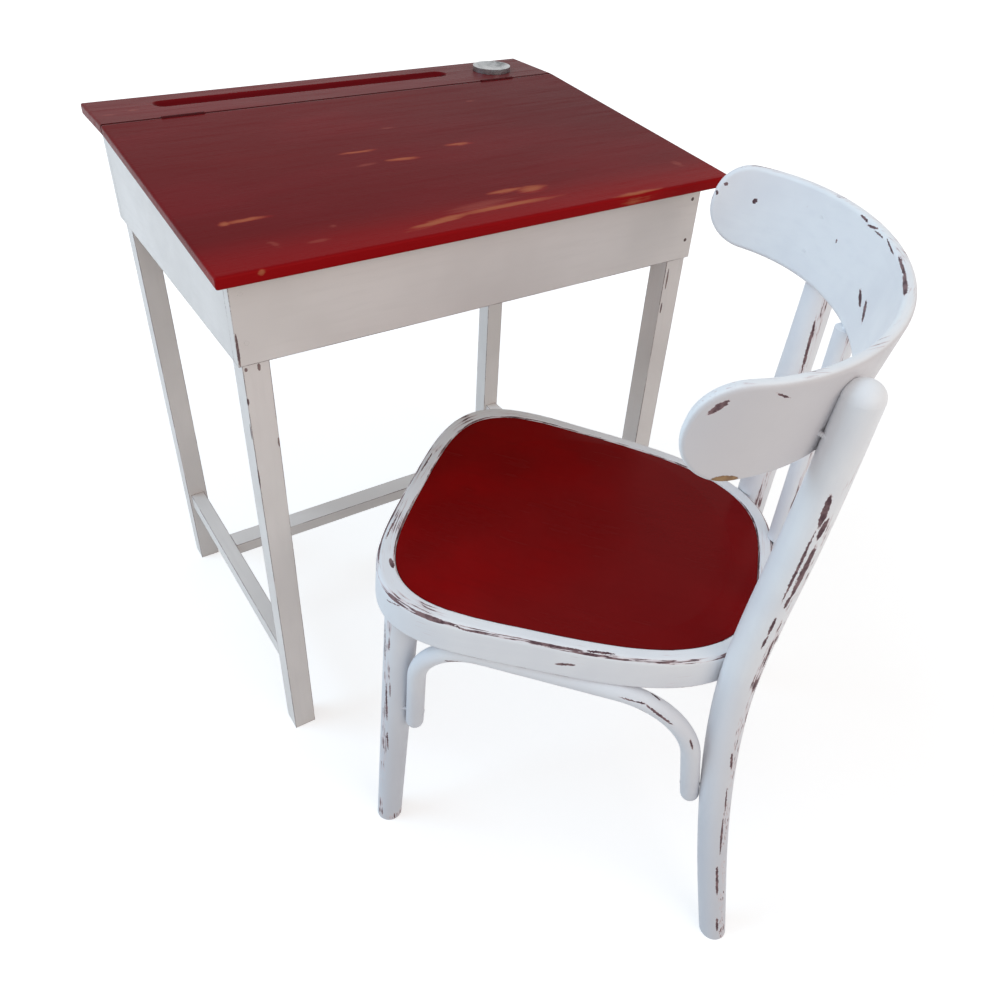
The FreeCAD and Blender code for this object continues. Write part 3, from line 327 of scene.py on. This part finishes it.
def chair_paint(name, rubbed, along, chips=(), bare=(), outer=None):
    """White paint; rubbed says how worn a place is and how its streaks run, outer where the paint is darkened
    as painted shade.
    """
    g = Graph(name)
    where = g.chair()
    rub, run = rubbed(g, where, g.chair_normal())
    stretched = g.local(run, scale=along)
    streaks = g.noise(stretched, 620, 3, 0.55, 0.2)
    patches = g.noise(where, 26, 2, 0.5)
    worn = g.plus(g.times(rub, 0.77), -0.3, g.centred(streaks, 1.5), g.centred(patches, 1.3))
    ragged = g.ruffled(where, 420, 0.0032)
    if chips:
        spots = g.spots(ragged, chips)
        worn = g.most(worn, g.times(g.plus(spots, g.times(spots, g.centred(streaks, 2.4))), 2.0))
    chip = g.ramp(worn, 0.47, 0.53)
    thin = g.ramp(worn, 0.22, 0.5)
    strokes = g.noise(stretched, 120, 5, 0.6)
    cloud = g.noise(where, 11, 3, 0.5)
    grime = g.noise(where, 90, 5, 0.65)
    paint = g.blend(g.ramp(cloud, 0.35, 0.68), CHAIR_WHITE, CHAIR_DULL)
    paint = g.blend(g.ramp(strokes, 0.42, 0.78, 0.0, 0.45), paint, CHAIR_DULL)
    # Painted shade: the paint turns greyer towards the floor
    paint = g.blend(g.ramp(g.split(where)[2], 0.1, 0.5, 0.85, 0.0), paint, CHAIR_LOW_SHADE)
    # Painted shade: duller paint on the board's outer face
    if outer:
        paint = g.blend(g.times(outer(g, where, g.chair_normal()), 0.75), paint, CHAIR_OUTER_SHADE)
    paint = g.blend(g.times(thin, 0.8), paint, PAINT_THIN)
    under = g.blend(g.ramp(grime, 0.4, 0.62), BROWN_DARK, BROWN_LIGHT)
    if bare:
        wood = g.ramp(g.spots(ragged, bare), 0.25, 0.35)
        chip = g.most(chip, wood)
        under = g.blend(wood, under, g.blend(g.ramp(grime, 0.4, 0.62), BARE_WOOD, BARE_WOOD_DARK))
    g.set("Base Color", g.blend(chip, paint, under))
    g.set("Roughness", g.ramp(g.plus(grime, g.times(chip, 0.6)), 0.25, 1.1, 0.34, 0.66))
    g.gloss(WHITE_GLOSS)
    g.bump(g.plus(g.times(strokes, 0.4), g.times(chip, -0.8)), 0.4, 0.0006)
    return g.material


def outward(g, where, normal):
    """The normal's parts away from the chair's middle line, forward and up."""
    side, ahead, up = g.split(normal)
    hand = g.math("SIGN", g.split(where)[0])
    return g.times(side, hand), ahead, up


def band(g, parts, way, low, high):
    """1 where a round piece faces a way, given as out, forward and up."""
    total = g.plus(*[g.times(part, share) for part, share in zip(parts, way)])
    return g.ramp(total, low, high)


def ring_rub(g, where, normal):
    """Rubbed along the edges, and on top at the front and the rear; the streaks run round the seat."""
    across, ahead, up = g.split(where)
    narrowed = g.math("DIVIDE", across, g.plus(g.times(ahead, SEAT_TAPER / SEAT_FRONT), 1.0))
    reach = g.plus(g.times(g.math("GREATER_THAN", ahead, 0.0), SEAT_FRONT - SEAT_REAR), SEAT_REAR)
    level = g.plus(g.math("POWER", g.size(g.times(narrowed, 1 / SEAT_HALF_WIDTH)), SEAT_POWER),
                   g.math("POWER", g.size(g.math("DIVIDE", ahead, reach)), SEAT_POWER))
    level = g.math("POWER", level, 1 / SEAT_POWER)
    turn = g.math("ARCTAN2", ahead, across)
    slant = g.size(g.split(normal)[2])
    edge = g.times(g.ramp(slant, 0.12, 0.5), g.ramp(slant, 0.84, 0.985, 1.0, 0.0))
    ends = g.most(g.ramp(ahead, 0.02, 0.14, 0.28, 0.62), g.ramp(ahead, -0.19, -0.10, 0.5, 0.28))
    overall = g.most(g.times(ends, g.ramp(slant, 0.7, 0.95)), 0.28)
    return g.most(edge, overall), g.gather(g.times(turn, 0.19), g.times(level, 0.2), up)


def board_bow(g, where, normal):
    """Where a place lies round the board's bow, and how far it faces straight out of it."""
    across, ahead, up = g.split(where)
    behind = g.plus(ahead, BOW_BEHIND)
    way = g.gather(g.times(across, 1 / BOW_HALF_WIDTH ** 2), g.times(behind, 1 / BOW_DEPTH ** 2), 0.0)
    return across, behind, up, g.dot(g.vector_math("NORMALIZE", way, (0, 0, 0)), normal)


def board_rub(g, where, normal):
    """Rubbed along the rim, which faces neither out of the bow nor into it, and less on the left wing."""
    across, behind, up, facing = board_bow(g, where, normal)
    rim = g.ramp(g.size(facing), 0.35, 0.93, 1.0, 0.0)
    turn = g.math("ARCTAN2", behind, across)
    round_middle = g.length(g.gather(across, behind, 0.0))
    rub = g.times(rim, g.ramp(across, -0.20, -0.08, 0.36, 0.62))
    return rub, g.gather(g.times(turn, 0.2), round_middle, up)


def board_outer(g, where, normal):
    """The outer face of the bow, where the paint is darkened as painted shade."""
    return g.ramp(board_bow(g, where, normal)[3], 0.5, 0.95)


def post_rub(g, where, normal):
    """Rubbed along the rear, most on the outer side and less near the top."""
    parts = outward(g, where, normal)
    rear = band(g, parts, (0.62, -0.78, 0), 0.86, 0.97)
    inner = band(g, parts, (-0.92, -0.38, 0), 0.93, 0.985)
    rear = g.times(rear, g.ramp(g.split(where)[2], 0.59, 0.64, 0.8, 0.4))
    return g.most(rear, g.times(inner, 0.7)), where


def leg_rub(g, where, normal):
    """Rubbed along the outer front side, and a little at the foot."""
    parts = outward(g, where, normal)
    front = band(g, parts, (0.87, 0.49, 0), 0.92, 0.985)
    inner = band(g, parts, (-0.45, 0.89, 0), 0.94, 0.99)
    foot = g.ramp(g.split(where)[2], 0.004, 0.022, 0.7, 0.0)
    return g.most(g.times(g.most(front, g.times(inner, 0.7)), 0.8), foot), where


def rod_rub(g, where, normal):
    """Rubbed along the outer lower side and the inside."""
    parts = outward(g, where, normal)
    lower = band(g, parts, (0.72, 0, -0.69), 0.90, 0.98)
    inner = band(g, parts, (-0.94, -0.34, 0), 0.93, 0.985)
    return g.most(g.times(lower, 0.85), g.times(inner, 0.7)), where


def no_rub(g, where, normal):
    return 0.0, where


# Scars on the chair, as two pixels of the photograph and a half width in millimetres
RING_CHIPS = [
    ((425, 615), (472, 632), 2.4), ((535, 644), (580, 650), 2.2), ((584, 651), (614, 654), 2.4),
    ((555, 664), (575, 665), 3.2), ((393, 568), (390, 558), 4.6), ((387, 600), (400, 606), 2.0),
    ((385, 540), (398, 514), 1.8), ((421, 471), (433, 452), 1.8),
]
BOARD_CHIPS = [
    ((754, 199), (756, 203), 6), ((724, 184), (728, 184), 3.5), ((717, 190), (717, 195), 3),
    ((837, 239), (836, 243), 2.4), ((861, 215), (868, 222), 2.4), ((867, 225), (878, 229), 2.4),
    ((875, 231), (883, 238), 1.7), ((887, 239), (894, 257), 1.7), ((899, 256), (905, 277), 3),
    ((904, 274), (905, 295), 5), ((860, 289), (860, 307), 5), ((866, 301), (862, 323), 5.5),
    ((708, 414), (730, 400), 5), ((776, 393), (790, 398), 1.8),
]
BOARD_BARE = [((710, 479), (739, 478), 7)]
LEG_CHIPS = [
    ((385, 624), (385, 660), 2.4), ((386, 681), (387, 721), 2.6), ((387, 731), (388, 749), 2.0),
    ((389, 637), (389, 651), 2.2), ((390, 683), (390, 697), 1.8),
]
POST_CHIPS = [
    ((831, 495), (819, 528), 4.5), ((829, 518), (817, 540), 4.5), ((814, 534), (783, 600), 2.4),
    ((816, 546), (791, 597), 5), ((790, 597), (784, 609), 3.4), ((776, 618), (768, 635), 3),
    ((768, 636), (761, 649), 2.4), ((774, 640), (763, 667), 3.2), ((732, 753), (731, 770), 3),
    ((727, 788), (725, 812), 2), ((723, 819), (720, 854), 2.6), ((717, 865), (717, 895), 3),
    ((717, 917), (717, 931), 3), ((816, 318), (801, 374), 3.2),
]
BRACE_CHIPS = [
    ((444, 661), (463, 662), 2.6), ((619, 697), (645, 704), 2.0), ((645, 704), (673, 725), 3.0),
    ((651, 693), (661, 701), 2.8), ((690, 739), (693, 750), 2.2),
]

board_chips = scars(["back_board"], BOARD_CHIPS)
board_bare = scars(["back_board"], BOARD_BARE)
posts = both("back_post_{}")
front_legs = both("chair_leg_front_{}")
braces = both("side_brace_{}")
dress(["seat_ring"], chair_paint("ring_paint", ring_rub, (26, 1, 1), scars(["seat_ring"], RING_CHIPS)))
dress(["back_board"], chair_paint("board_paint", board_rub, (18, 1, 1), board_chips, board_bare, board_outer))
dress(posts, chair_paint("post_paint", post_rub, (1, 1, 26), scars(posts, POST_CHIPS)))
dress(front_legs, chair_paint("chair_leg_paint", leg_rub, (1, 1, 26), scars(front_legs, LEG_CHIPS)))
dress(both("back_spindle_{}"), chair_paint("spindle_paint", rod_rub, (1, 1, 22)))
dress(braces, chair_paint("brace_paint", rod_rub, (1, 16, 1), scars(braces, BRACE_CHIPS)))
dress(["post_screws", "brace_screws"], chair_paint("screw_paint", no_rub, (1, 1, 1)))


def board_screw_paint():
    """White heads inside the bow of the board, and shanks painted over outside it in the greyer tone of
    painted shade.
    """
    g = Graph("board_screw_paint")
    across, ahead, up = g.split(g.chair())
    behind = g.plus(ahead, BOW_BEHIND, g.times(g.plus(up, -BOARD_LOW), BOARD_SLOPE))
    side_share = g.math("POWER", g.times(across, 1 / BOW_HALF_WIDTH), 2.0)
    back_share = g.math("POWER", g.times(behind, 1 / BOW_DEPTH), 2.0)
    rust = g.noise(g.object_place, 700, 4, 0.6)
    # The shanks take the painted shade of the board's outer face
    shank = g.blend(g.ramp(rust, 0.4, 0.6), CHAIR_OUTER_SHADE, CHAIR_DULL)
    white = g.blend(g.ramp(rust, 0.4, 0.7), CHAIR_WHITE, CHAIR_DULL)
    g.set("Base Color", g.blend(g.ramp(g.plus(side_share, back_share), 0.97, 1.0), white, shank))
    g.set("Roughness", g.ramp(rust, 0.3, 0.7, 0.4, 0.6))
    g.bump(rust, 0.15, 0.0003)
    return g.material


dress(["board_screws"], board_screw_paint())


# White paint on the desk, warmer than the chair's, rubbed through only on its sharp edges

DESK_WHITE = colour(233, 226, 222)
DESK_DULL = colour(223, 216, 212)
DESK_THIN = colour(186, 176, 170)
DESK_BROWN_DARK = colour(104, 82, 84)
DESK_BROWN_LIGHT = colour(146, 124, 120)
BOX_WOOD = colour(176, 142, 102)
BOX_WOOD_DARK = colour(142, 108, 72)


def grain(g, where, along):
    """Bare wood with its grain along a piece: its colour and its relief."""
    fibre = g.noise(g.local(where, scale=along), 150, 6, 0.62, 0.5)
    return g.blend(g.ramp(fibre, 0.36, 0.68), BOX_WOOD, BOX_WOOD_DARK), fibre


def desk_paint(name, along, edge_wear, chips=()):
    """White paint outside and bare wood inside the box, with its brush strokes along the piece."""
    g = Graph(name)
    where = g.desk()
    rounded, edge = g.soft_edges(0.0020)
    stretched = g.local(where, scale=along)
    strokes = g.noise(stretched, 140, 5, 0.6)
    streaks = g.noise(stretched, 500, 3, 0.6, 0.2)
    patches = g.noise(where, 16, 2, 0.5)
    cloud = g.noise(where, 6, 3, 0.5)
    grime = g.noise(where, 60, 6, 0.65)
    worn = g.times(g.ramp(edge, 0.01, 0.10), edge_wear + 0.3)
    worn = g.plus(worn, -0.3, g.centred(streaks, 1.2), g.centred(patches, 1.2))
    if chips:
        worn = g.most(worn, g.times(g.spots(g.ruffled(where, 600, 0.0016), chips), 3.0))
    chip = g.ramp(worn, 0.47, 0.55)
    thin = g.ramp(worn, 0.22, 0.5)
    paint = g.blend(g.ramp(cloud, 0.35, 0.68), DESK_WHITE, DESK_DULL)
    paint = g.blend(g.ramp(strokes, 0.42, 0.78, 0.0, 0.5), paint, DESK_DULL)
    paint = g.blend(g.times(thin, 0.5), paint, DESK_THIN)
    under = g.blend(g.ramp(grime, 0.4, 0.62), DESK_BROWN_DARK, DESK_BROWN_LIGHT)
    across, deep, up = g.split(where)
    room = g.math("MINIMUM", g.math("SUBTRACT", BOX_HALF_WIDTH, g.size(across)),
                  g.math("SUBTRACT", BOX_HALF_DEPTH, g.size(g.plus(deep, -BOX_MIDDLE))))
    inside = g.math("GREATER_THAN", g.math("MINIMUM", room, g.plus(up, -BOX_FLOOR)), 0.0)
    wood, fibre = grain(g, where, along)
    g.set("Base Color", g.blend(inside, g.blend(chip, paint, under), wood))
    g.set("Roughness", g.ramp(g.plus(grime, g.times(chip, 0.5), g.times(inside, 0.5)), 0.25, 1.1, 0.36, 0.68))
    g.gloss(WHITE_GLOSS)
    g.bump(g.plus(g.times(strokes, 0.4), g.times(fibre, 0.2), g.times(chip, -0.7)), 0.3, 0.0006, rounded)
    return g.material


# Chips on the desk, as the middle's pixel in the photograph, half lengths in millimetres and a turn in plan
CORNER_CHIPS = [((238, 351), (1.5, 1.5, 22), 0)]
DESK_LEG_CHIPS = [
    ((246, 370), (2, 3, 2.5), 0), ((259, 367), (2, 3, 5), 0), ((248, 402), (1.5, 2, 5), 0),
    ((667, 279), (1.5, 3, 17), 0), ((661, 308), (1.5, 3, 9), 0), ((279, 442), (1.5, 2, 7), 0),
    ((251, 432), (1.2, 2, 12), 0), ((259, 479), (1.2, 2, 16), 0),
]
corner_chips = marks(["front_panel"], CORNER_CHIPS)
desk_leg_chips = marks(both("leg_front_{}"), DESK_LEG_CHIPS)
dress(["front_panel", "back_panel"], desk_paint("panel_paint_across", (10, 1, 1), 0.52, corner_chips))
dress(["stretcher_cross"], desk_paint("stretcher_paint_across", (10, 1, 1), 0.62))
dress(both("side_panel_{}"), desk_paint("panel_paint_deep", (1, 10, 1), 0.52))
dress(both("stretcher_{}"), desk_paint("stretcher_paint_deep", (1, 10, 1), 0.62))
desk_legs = both("leg_front_{}") + both("leg_back_{}")
dress(desk_legs, desk_paint("desk_leg_paint", (1, 1, 10), 0.62, desk_leg_chips))


# Dark red on the top: worn to orange in streaks along the grain, with painted highlight at the front and the
# edges, and painted shade at the far right, in the groove and along the lid's joint

TOP_RED = colour(115, 17, 24)
TOP_DEEP = colour(103, 15, 20)
TOP_HIGHLIGHT_AND_WEAR = colour(150, 15, 19)
TOP_WORN = colour(176, 100, 70)
TOP_FAR_SHADE = colour(78, 13, 19)
TOP_FAINT = colour(168, 84, 72)
TOP_RUBBED = colour(180, 60, 44)
TOP_SCRATCH = colour(160, 78, 72)
TOP_GAP_SHADE = colour(74, 10, 16)
GROOVE_NEAR_SHADE = colour(50, 7, 11)
GROOVE_RED = colour(104, 8, 16)

# Streaks on the top, as the middle's pixel in the photograph, half lengths in millimetres and a turn in plan
STREAKS = [
    ((246, 220), (34, 5, 20), 0), ((224, 224), (8, 6, 20), 0), ((358, 152), (30, 4, 20), 0),
    ((403, 159), (26, 5, 20), -6), ((459, 144), (24, 6, 20), -5), ((532, 189), (26, 11, 20), 0),
    ((505, 191), (30, 6, 20), 0), ((441, 221), (56, 7, 20), 9), ((509, 205), (84, 7, 20), 0),
    ((637, 193), (44, 5, 20), 0), ((262, 272), (5, 5, 4), 0),
]
FAINT_STREAKS = [
    ((366, 165), (22, 5, 20), 5), ((387, 128), (16, 4, 20), 0), ((318, 241), (16, 5, 20), 0),
    ((333, 226), (7, 5, 20), 0), ((678, 164), (10, 16, 20), 0), ((470, 101), (11, 4, 20), 0),
    ((109, 115), (13, 4, 20), 0), ((133, 110), (10, 6, 20), 0), ((274, 244), (6, 14, 20), 20),
    ((483, 205), (70, 16, 20), 4),
]


def red_top(streaks, faint_streaks):
    """Red paint above and at the edges, worn in streaks, with painted highlight and painted shade, and bare
    wood below.
    """
    g = Graph("top_paint")
    where = g.desk()
    rounded, edge = g.soft_edges(0.003)
    fibre = g.noise(g.local(where, scale=(22, 1, 1)), 190, 5, 0.6, 0.3)
    cloud = g.noise(g.local(where, scale=(3, 1, 1)), 10, 3, 0.5)
    scratch = g.noise(g.local(where, scale=(26, 1, 1)), 420, 3, 0.6)
    across, deep, up = g.split(where)
    face = g.split(g.object_normal)
    tone = g.blend(g.ramp(cloud, 0.34, 0.66), TOP_RED, TOP_DEEP)
    tone = g.blend(g.ramp(fibre, 0.45, 0.75, 0.0, 0.3), tone, TOP_DEEP)
    # Painted shade: the top is painted darker towards its far right
    far_right_shade = g.times(g.ramp(across, -0.1, 0.3), g.ramp(deep, 0.06, 0.25))
    tone = g.blend(g.times(far_right_shade, 0.5), tone, TOP_FAR_SHADE)
    # Painted highlight: brighter red on the front faces, near the front edge and on the rounded edges
    front = g.times(g.ramp(face[1], -0.85, -0.35, 1.0, 0.0), g.ramp(deep, 0.1, 0.2, 1.0, 0.0))
    near = g.plus(g.ramp(deep, 0.0, 0.075, 0.7, 0.0), g.centred(cloud, 0.5))
    painted_highlight = g.most(g.most(front, near), g.times(g.ramp(edge, 0.02, 0.2), 0.6))
    tone = g.blend(painted_highlight, tone, TOP_HIGHLIGHT_AND_WEAR)
    off_across = g.size(g.plus(across, -GROOVE_MIDDLE[0]))
    off_deep = g.size(g.plus(deep, -GROOVE_MIDDLE[1]))
    groove = g.times(g.ramp(off_deep, GROOVE_HALF_WIDTH, GROOVE_HALF_WIDTH + 0.0015, 1.0, 0.0),
                     g.ramp(off_across, GROOVE_HALF_LENGTH, GROOVE_HALF_LENGTH + 0.0015, 1.0, 0.0))
    groove = g.times(groove, g.ramp(up, 0.7060, 0.7094, 1.0, 0.0))
    # Painted shade in the groove: darkest on its near wall, a deeper red on its far wall
    groove_shade = g.blend(g.ramp(deep, 0.421, 0.436), GROOVE_NEAR_SHADE, GROOVE_RED)
    tone = g.blend(groove, tone, groove_shade)
    ragged = g.ruffled(g.local(where, scale=(2, 1, 1)), 110, 0.005)
    ragged = g.local(ragged, scale=(0.5, 1, 1))
    wear = g.spots(ragged, streaks)
    worn = g.plus(g.times(wear, 1.2), g.times(g.ramp(wear, 0.0, 0.3), g.centred(fibre, 2.2)))
    faint = g.plus(g.times(g.spots(ragged, faint_streaks), 1.1), g.centred(fibre, 1.4))
    rubbed = g.plus(g.times(g.ramp(edge, 0.03, 0.2), 0.3), g.centred(cloud, 1.2), g.centred(fibre, 1.0))
    # The worn streaks also take the same brighter red, here as wear
    tone = g.blend(g.ramp(wear, 0.0, 0.5, 0.0, 0.5), tone, TOP_HIGHLIGHT_AND_WEAR)
    tone = g.blend(g.ramp(faint, 0.25, 0.9, 0.0, 0.36), tone, TOP_FAINT)
    tone = g.blend(g.ramp(rubbed, 0.36, 0.62, 0.0, 0.5), tone, TOP_RUBBED)
    tone = g.blend(g.ramp(scratch, 0.68, 0.76, 0.0, 0.18), tone, TOP_SCRATCH)
    tone = g.blend(g.ramp(worn, 0.1, 1.0, 0.0, 0.8), tone, TOP_WORN)
    # Painted shade along the joint between the lid and the strip: the faces beside the gap are painted dark
    gap_shade = g.ramp(g.size(g.plus(deep, -LID_JOINT)), 0.0020, 0.0034, 0.85, 0.0)
    tone = g.blend(gap_shade, tone, TOP_GAP_SHADE)
    wood = grain(g, where, (10, 1, 1))[0]
    below = g.ramp(face[2], -0.8, -0.6, 1.0, 0.0)
    g.set("Base Color", g.blend(below, tone, wood))
    g.set("Roughness", g.ramp(g.plus(fibre, g.times(g.ramp(worn, 0.3, 0.9), 0.4)), 0.25, 1.0, 0.24, 0.5))
    g.gloss(TOP_GLOSS)
    g.bump(fibre, 0.12, 0.0004, rounded)
    return g.material


tops = ["lid_board", "back_strip"]
dress(tops, red_top(marks(tops, STREAKS), marks(tops, FAINT_STREAKS)))


# Dark red on the seat, smooth and a little glossy, with painted light towards the front and painted shade
# towards the rear

SEAT_SHADED_RED = colour(118, 10, 12)
SEAT_LIT_RED = colour(134, 10, 12)
SEAT_CLOUD = colour(111, 11, 12)
SEAT_GRAIN = colour(98, 8, 9)
SEAT_SPECK = colour(70, 12, 13)


def red_seat():
    g = Graph("seat_paint")
    where = g.chair()
    ahead = g.split(where)[1]
    fibre = g.noise(g.local(where, scale=(1, 12, 1)), 150, 4, 0.55, 0.3)
    cloud = g.noise(where, 9, 3, 0.5)
    speck = g.noise(where, 320, 3, 0.6)
    # Painted shade towards the rear of the seat and painted light towards its front
    tone = g.blend(g.ramp(ahead, -0.14, 0.16), SEAT_SHADED_RED, SEAT_LIT_RED)
    tone = g.blend(g.ramp(cloud, 0.36, 0.68, 0.0, 0.7), tone, SEAT_CLOUD)
    tone = g.blend(g.ramp(fibre, 0.45, 0.75, 0.0, 0.18), tone, SEAT_GRAIN)
    tone = g.blend(g.ramp(speck, 0.72, 0.78, 0.0, 0.4), tone, SEAT_SPECK)
    g.set("Base Color", tone)
    g.set("Roughness", g.ramp(g.plus(g.times(cloud, 0.6), g.times(fibre, 0.4)), 0.3, 0.7, 0.16, 0.30))
    g.gloss(SEAT_GLOSS)
    g.bump(fibre, 0.03, 0.0004)
    return g.material


dress(["seat_panel"], red_seat())


# Plain wood inside the desk

def plain_wood(name, along):
    g = Graph(name)
    wood, fibre = grain(g, g.desk(), along)
    g.set("Base Color", wood)
    g.set("Roughness", g.ramp(fibre, 0.2, 0.8, 0.55, 0.75))
    g.bump(fibre, 0.25, 0.0005)
    return g.material


dress(["box_floor"] + both("floor_cleat_{}") + both("lid_batten_{}"), plain_wood("box_wood", (1, 9, 1)))


# Metal: hinges painted over with the top, dark old screws, a dull pot and a bright cover

HINGE_RED = colour(84, 12, 18)
HINGE_DEEP = colour(62, 9, 14)
HINGE_BARE = colour(58, 40, 40)
NAIL_DARK = colour(62, 44, 42)
NAIL_RUST = colour(96, 72, 66)


def worn_metal(name, base, dark, roughness, spots=160):
    """Dull metal, clouded between two tones in spots of a given fineness."""
    g = Graph(name)
    cloud = g.noise(g.object_place, spots, 6, 0.65)
    fine = g.noise(g.object_place, 900, 3, 0.6)
    g.set("Base Color", g.blend(g.ramp(cloud, 0.38, 0.68), base, dark))
    g.set("Roughness", g.ramp(cloud, 0.2, 0.8, roughness - 0.08, roughness + 0.14))
    g.shader.inputs["Metallic"].default_value = 1.0
    g.bump(g.plus(cloud, g.times(fine, 0.3)), 0.15, 0.0003)
    return g.material


def hinge_paint():
    """Hinges painted red with the top, rubbed to dark metal in spots."""
    g = Graph("hinge_paint")
    cloud = g.noise(g.object_place, 160, 6, 0.65)
    fine = g.noise(g.object_place, 900, 3, 0.6)
    tone = g.blend(g.ramp(fine, 0.35, 0.65), HINGE_RED, HINGE_DEEP)
    g.set("Base Color", g.blend(g.ramp(cloud, 0.60, 0.66), tone, HINGE_BARE))
    g.set("Roughness", g.ramp(cloud, 0.2, 0.8, 0.4, 0.6))
    g.gloss(HINGE_GLOSS)
    g.bump(g.plus(cloud, g.times(fine, 0.3)), 0.15, 0.0003)
    return g.material


def nail_heads():
    """Bare dark heads at the right end of the panels, painted ones at the left."""
    g = Graph("nail_heads")
    where = g.desk()
    rust = g.noise(where, 700, 4, 0.6)
    painted = g.ramp(g.split(where)[0], -0.02, 0.02, 1.0, 0.0)
    dark = g.blend(g.ramp(rust, 0.4, 0.6), NAIL_DARK, NAIL_RUST)
    g.set("Base Color", g.blend(painted, dark, DESK_DULL))
    g.set("Roughness", g.ramp(rust, 0.3, 0.7, 0.45, 0.7))
    g.bump(rust, 0.2, 0.0003)
    return g.material


dress(both("hinge_leaf_strip_{}") + both("hinge_leaf_lid_{}") + both("hinge_pin_{}"), hinge_paint())
screw_metal = worn_metal("screw_metal", colour(74, 52, 50), colour(44, 26, 28), 0.5)
dress(["strip_hinge_screws", "lid_hinge_screws", "batten_screws"], screw_metal)
dress(["front_panel_nails", "back_panel_nails"], nail_heads())
dress(["inkwell_pot"], worn_metal("pot_metal", colour(128, 129, 130), colour(94, 95, 96), 0.4))
dress(["inkwell_cover"], worn_metal("cover_metal", colour(172, 175, 177), colour(98, 101, 103), 0.3, 44))

# Camera at the photograph's place
camera_data = bpy.data.cameras.new("camera")
camera = bpy.data.objects.new("camera", camera_data)
scene.collection.objects.link(camera)
camera.location = CAMERA_PLACE
camera.rotation_euler = CAMERA_TURN
camera_data.sensor_width = CAMERA_SENSOR
camera_data.lens = CAMERA_LENS
camera_data.shift_x = CAMERA_SHIFT[0]
camera_data.shift_y = CAMERA_SHIFT[1]
camera_data.clip_start = 0.05
camera_data.clip_end = 60.0
scene.camera = camera

# Floor: pale, white to the camera away from the object's shadow
WHITE = (1.0, 1.0, 1.0, 1.0)
FLOOR_GREY = (0.62, 0.62, 0.62, 1.0)
FLOOR_GLOW_NEAR = 0.58
FLOOR_GLOW_FAR = 0.8
bpy.ops.mesh.primitive_plane_add(size=30, location=(0, 0, 0))
floor = bpy.context.object
floor.name = "floor"
floor_graph = Graph("floor_white")
floor_graph.set("Base Color", FLOOR_GREY)
floor_graph.set("Roughness", 0.9)
floor_graph.gloss(0.0)
rays = floor_graph.add("ShaderNodeLightPath").outputs
seen = floor_graph.most(rays["Is Camera Ray"], rays["Is Glossy Ray"])
seen = floor_graph.most(seen, rays["Is Transmission Ray"])
floor_away = floor_graph.length(floor_graph.object_place)
floor_glow = floor_graph.ramp(floor_away, 0.6, 2.2, FLOOR_GLOW_NEAR, FLOOR_GLOW_FAR)
floor_graph.set("Emission Color", WHITE)
floor_graph.set("Emission Strength", floor_graph.times(seen, floor_glow))
floor.data.materials.append(floor_graph.material)

# Soft studio light: a sky that is white to look at and lights the object less, and two large lamps
SKY_LIGHT = 0.59
LAMP_AIM = (0, 0, 0.4)
world = bpy.data.worlds.new("world")
scene.world = world
world.use_nodes = True
background = world.node_tree.nodes["Background"]
background.inputs["Color"].default_value = WHITE
sky_nodes = world.node_tree.nodes
sky_links = world.node_tree.links
sky_rays = sky_nodes.new("ShaderNodeLightPath").outputs
sky_seen = sky_rays["Is Camera Ray"]
for kind in ("Is Glossy Ray", "Is Transmission Ray"):
    either = sky_nodes.new("ShaderNodeMath")
    either.operation = "MAXIMUM"
    sky_links.new(sky_seen, either.inputs[0])
    sky_links.new(sky_rays[kind], either.inputs[1])
    sky_seen = either.outputs[0]
sky_level = sky_nodes.new("ShaderNodeMapRange")
sky_level.inputs["To Min"].default_value = SKY_LIGHT
sky_links.new(sky_seen, sky_level.inputs["Value"])
sky_links.new(sky_level.outputs["Result"], background.inputs["Strength"])


def area_light(name, place, size, power, tint):
    """A rectangular lamp at a place, turned towards the object."""
    data = bpy.data.lights.new(name, "AREA")
    data.shape = "RECTANGLE"
    data.size = size[0]
    data.size_y = size[1]
    data.energy = power
    data.color = tint
    lamp = bpy.data.objects.new(name, data)
    scene.collection.objects.link(lamp)
    lamp.location = place
    lamp.rotation_euler = (Vector(LAMP_AIM) - Vector(place)).to_track_quat("-Z", "Y").to_euler()


area_light("key", place=(-4.0, 1.9, 3.6), size=(3.2, 3.2), power=124, tint=(0.50, 0.77, 1.0))
area_light("fill", place=(0.2, -2.8, 1.7), size=(2.0, 1.6), power=19, tint=(1.0, 0.88, 0.80))

scene.view_settings.view_transform = "Standard"
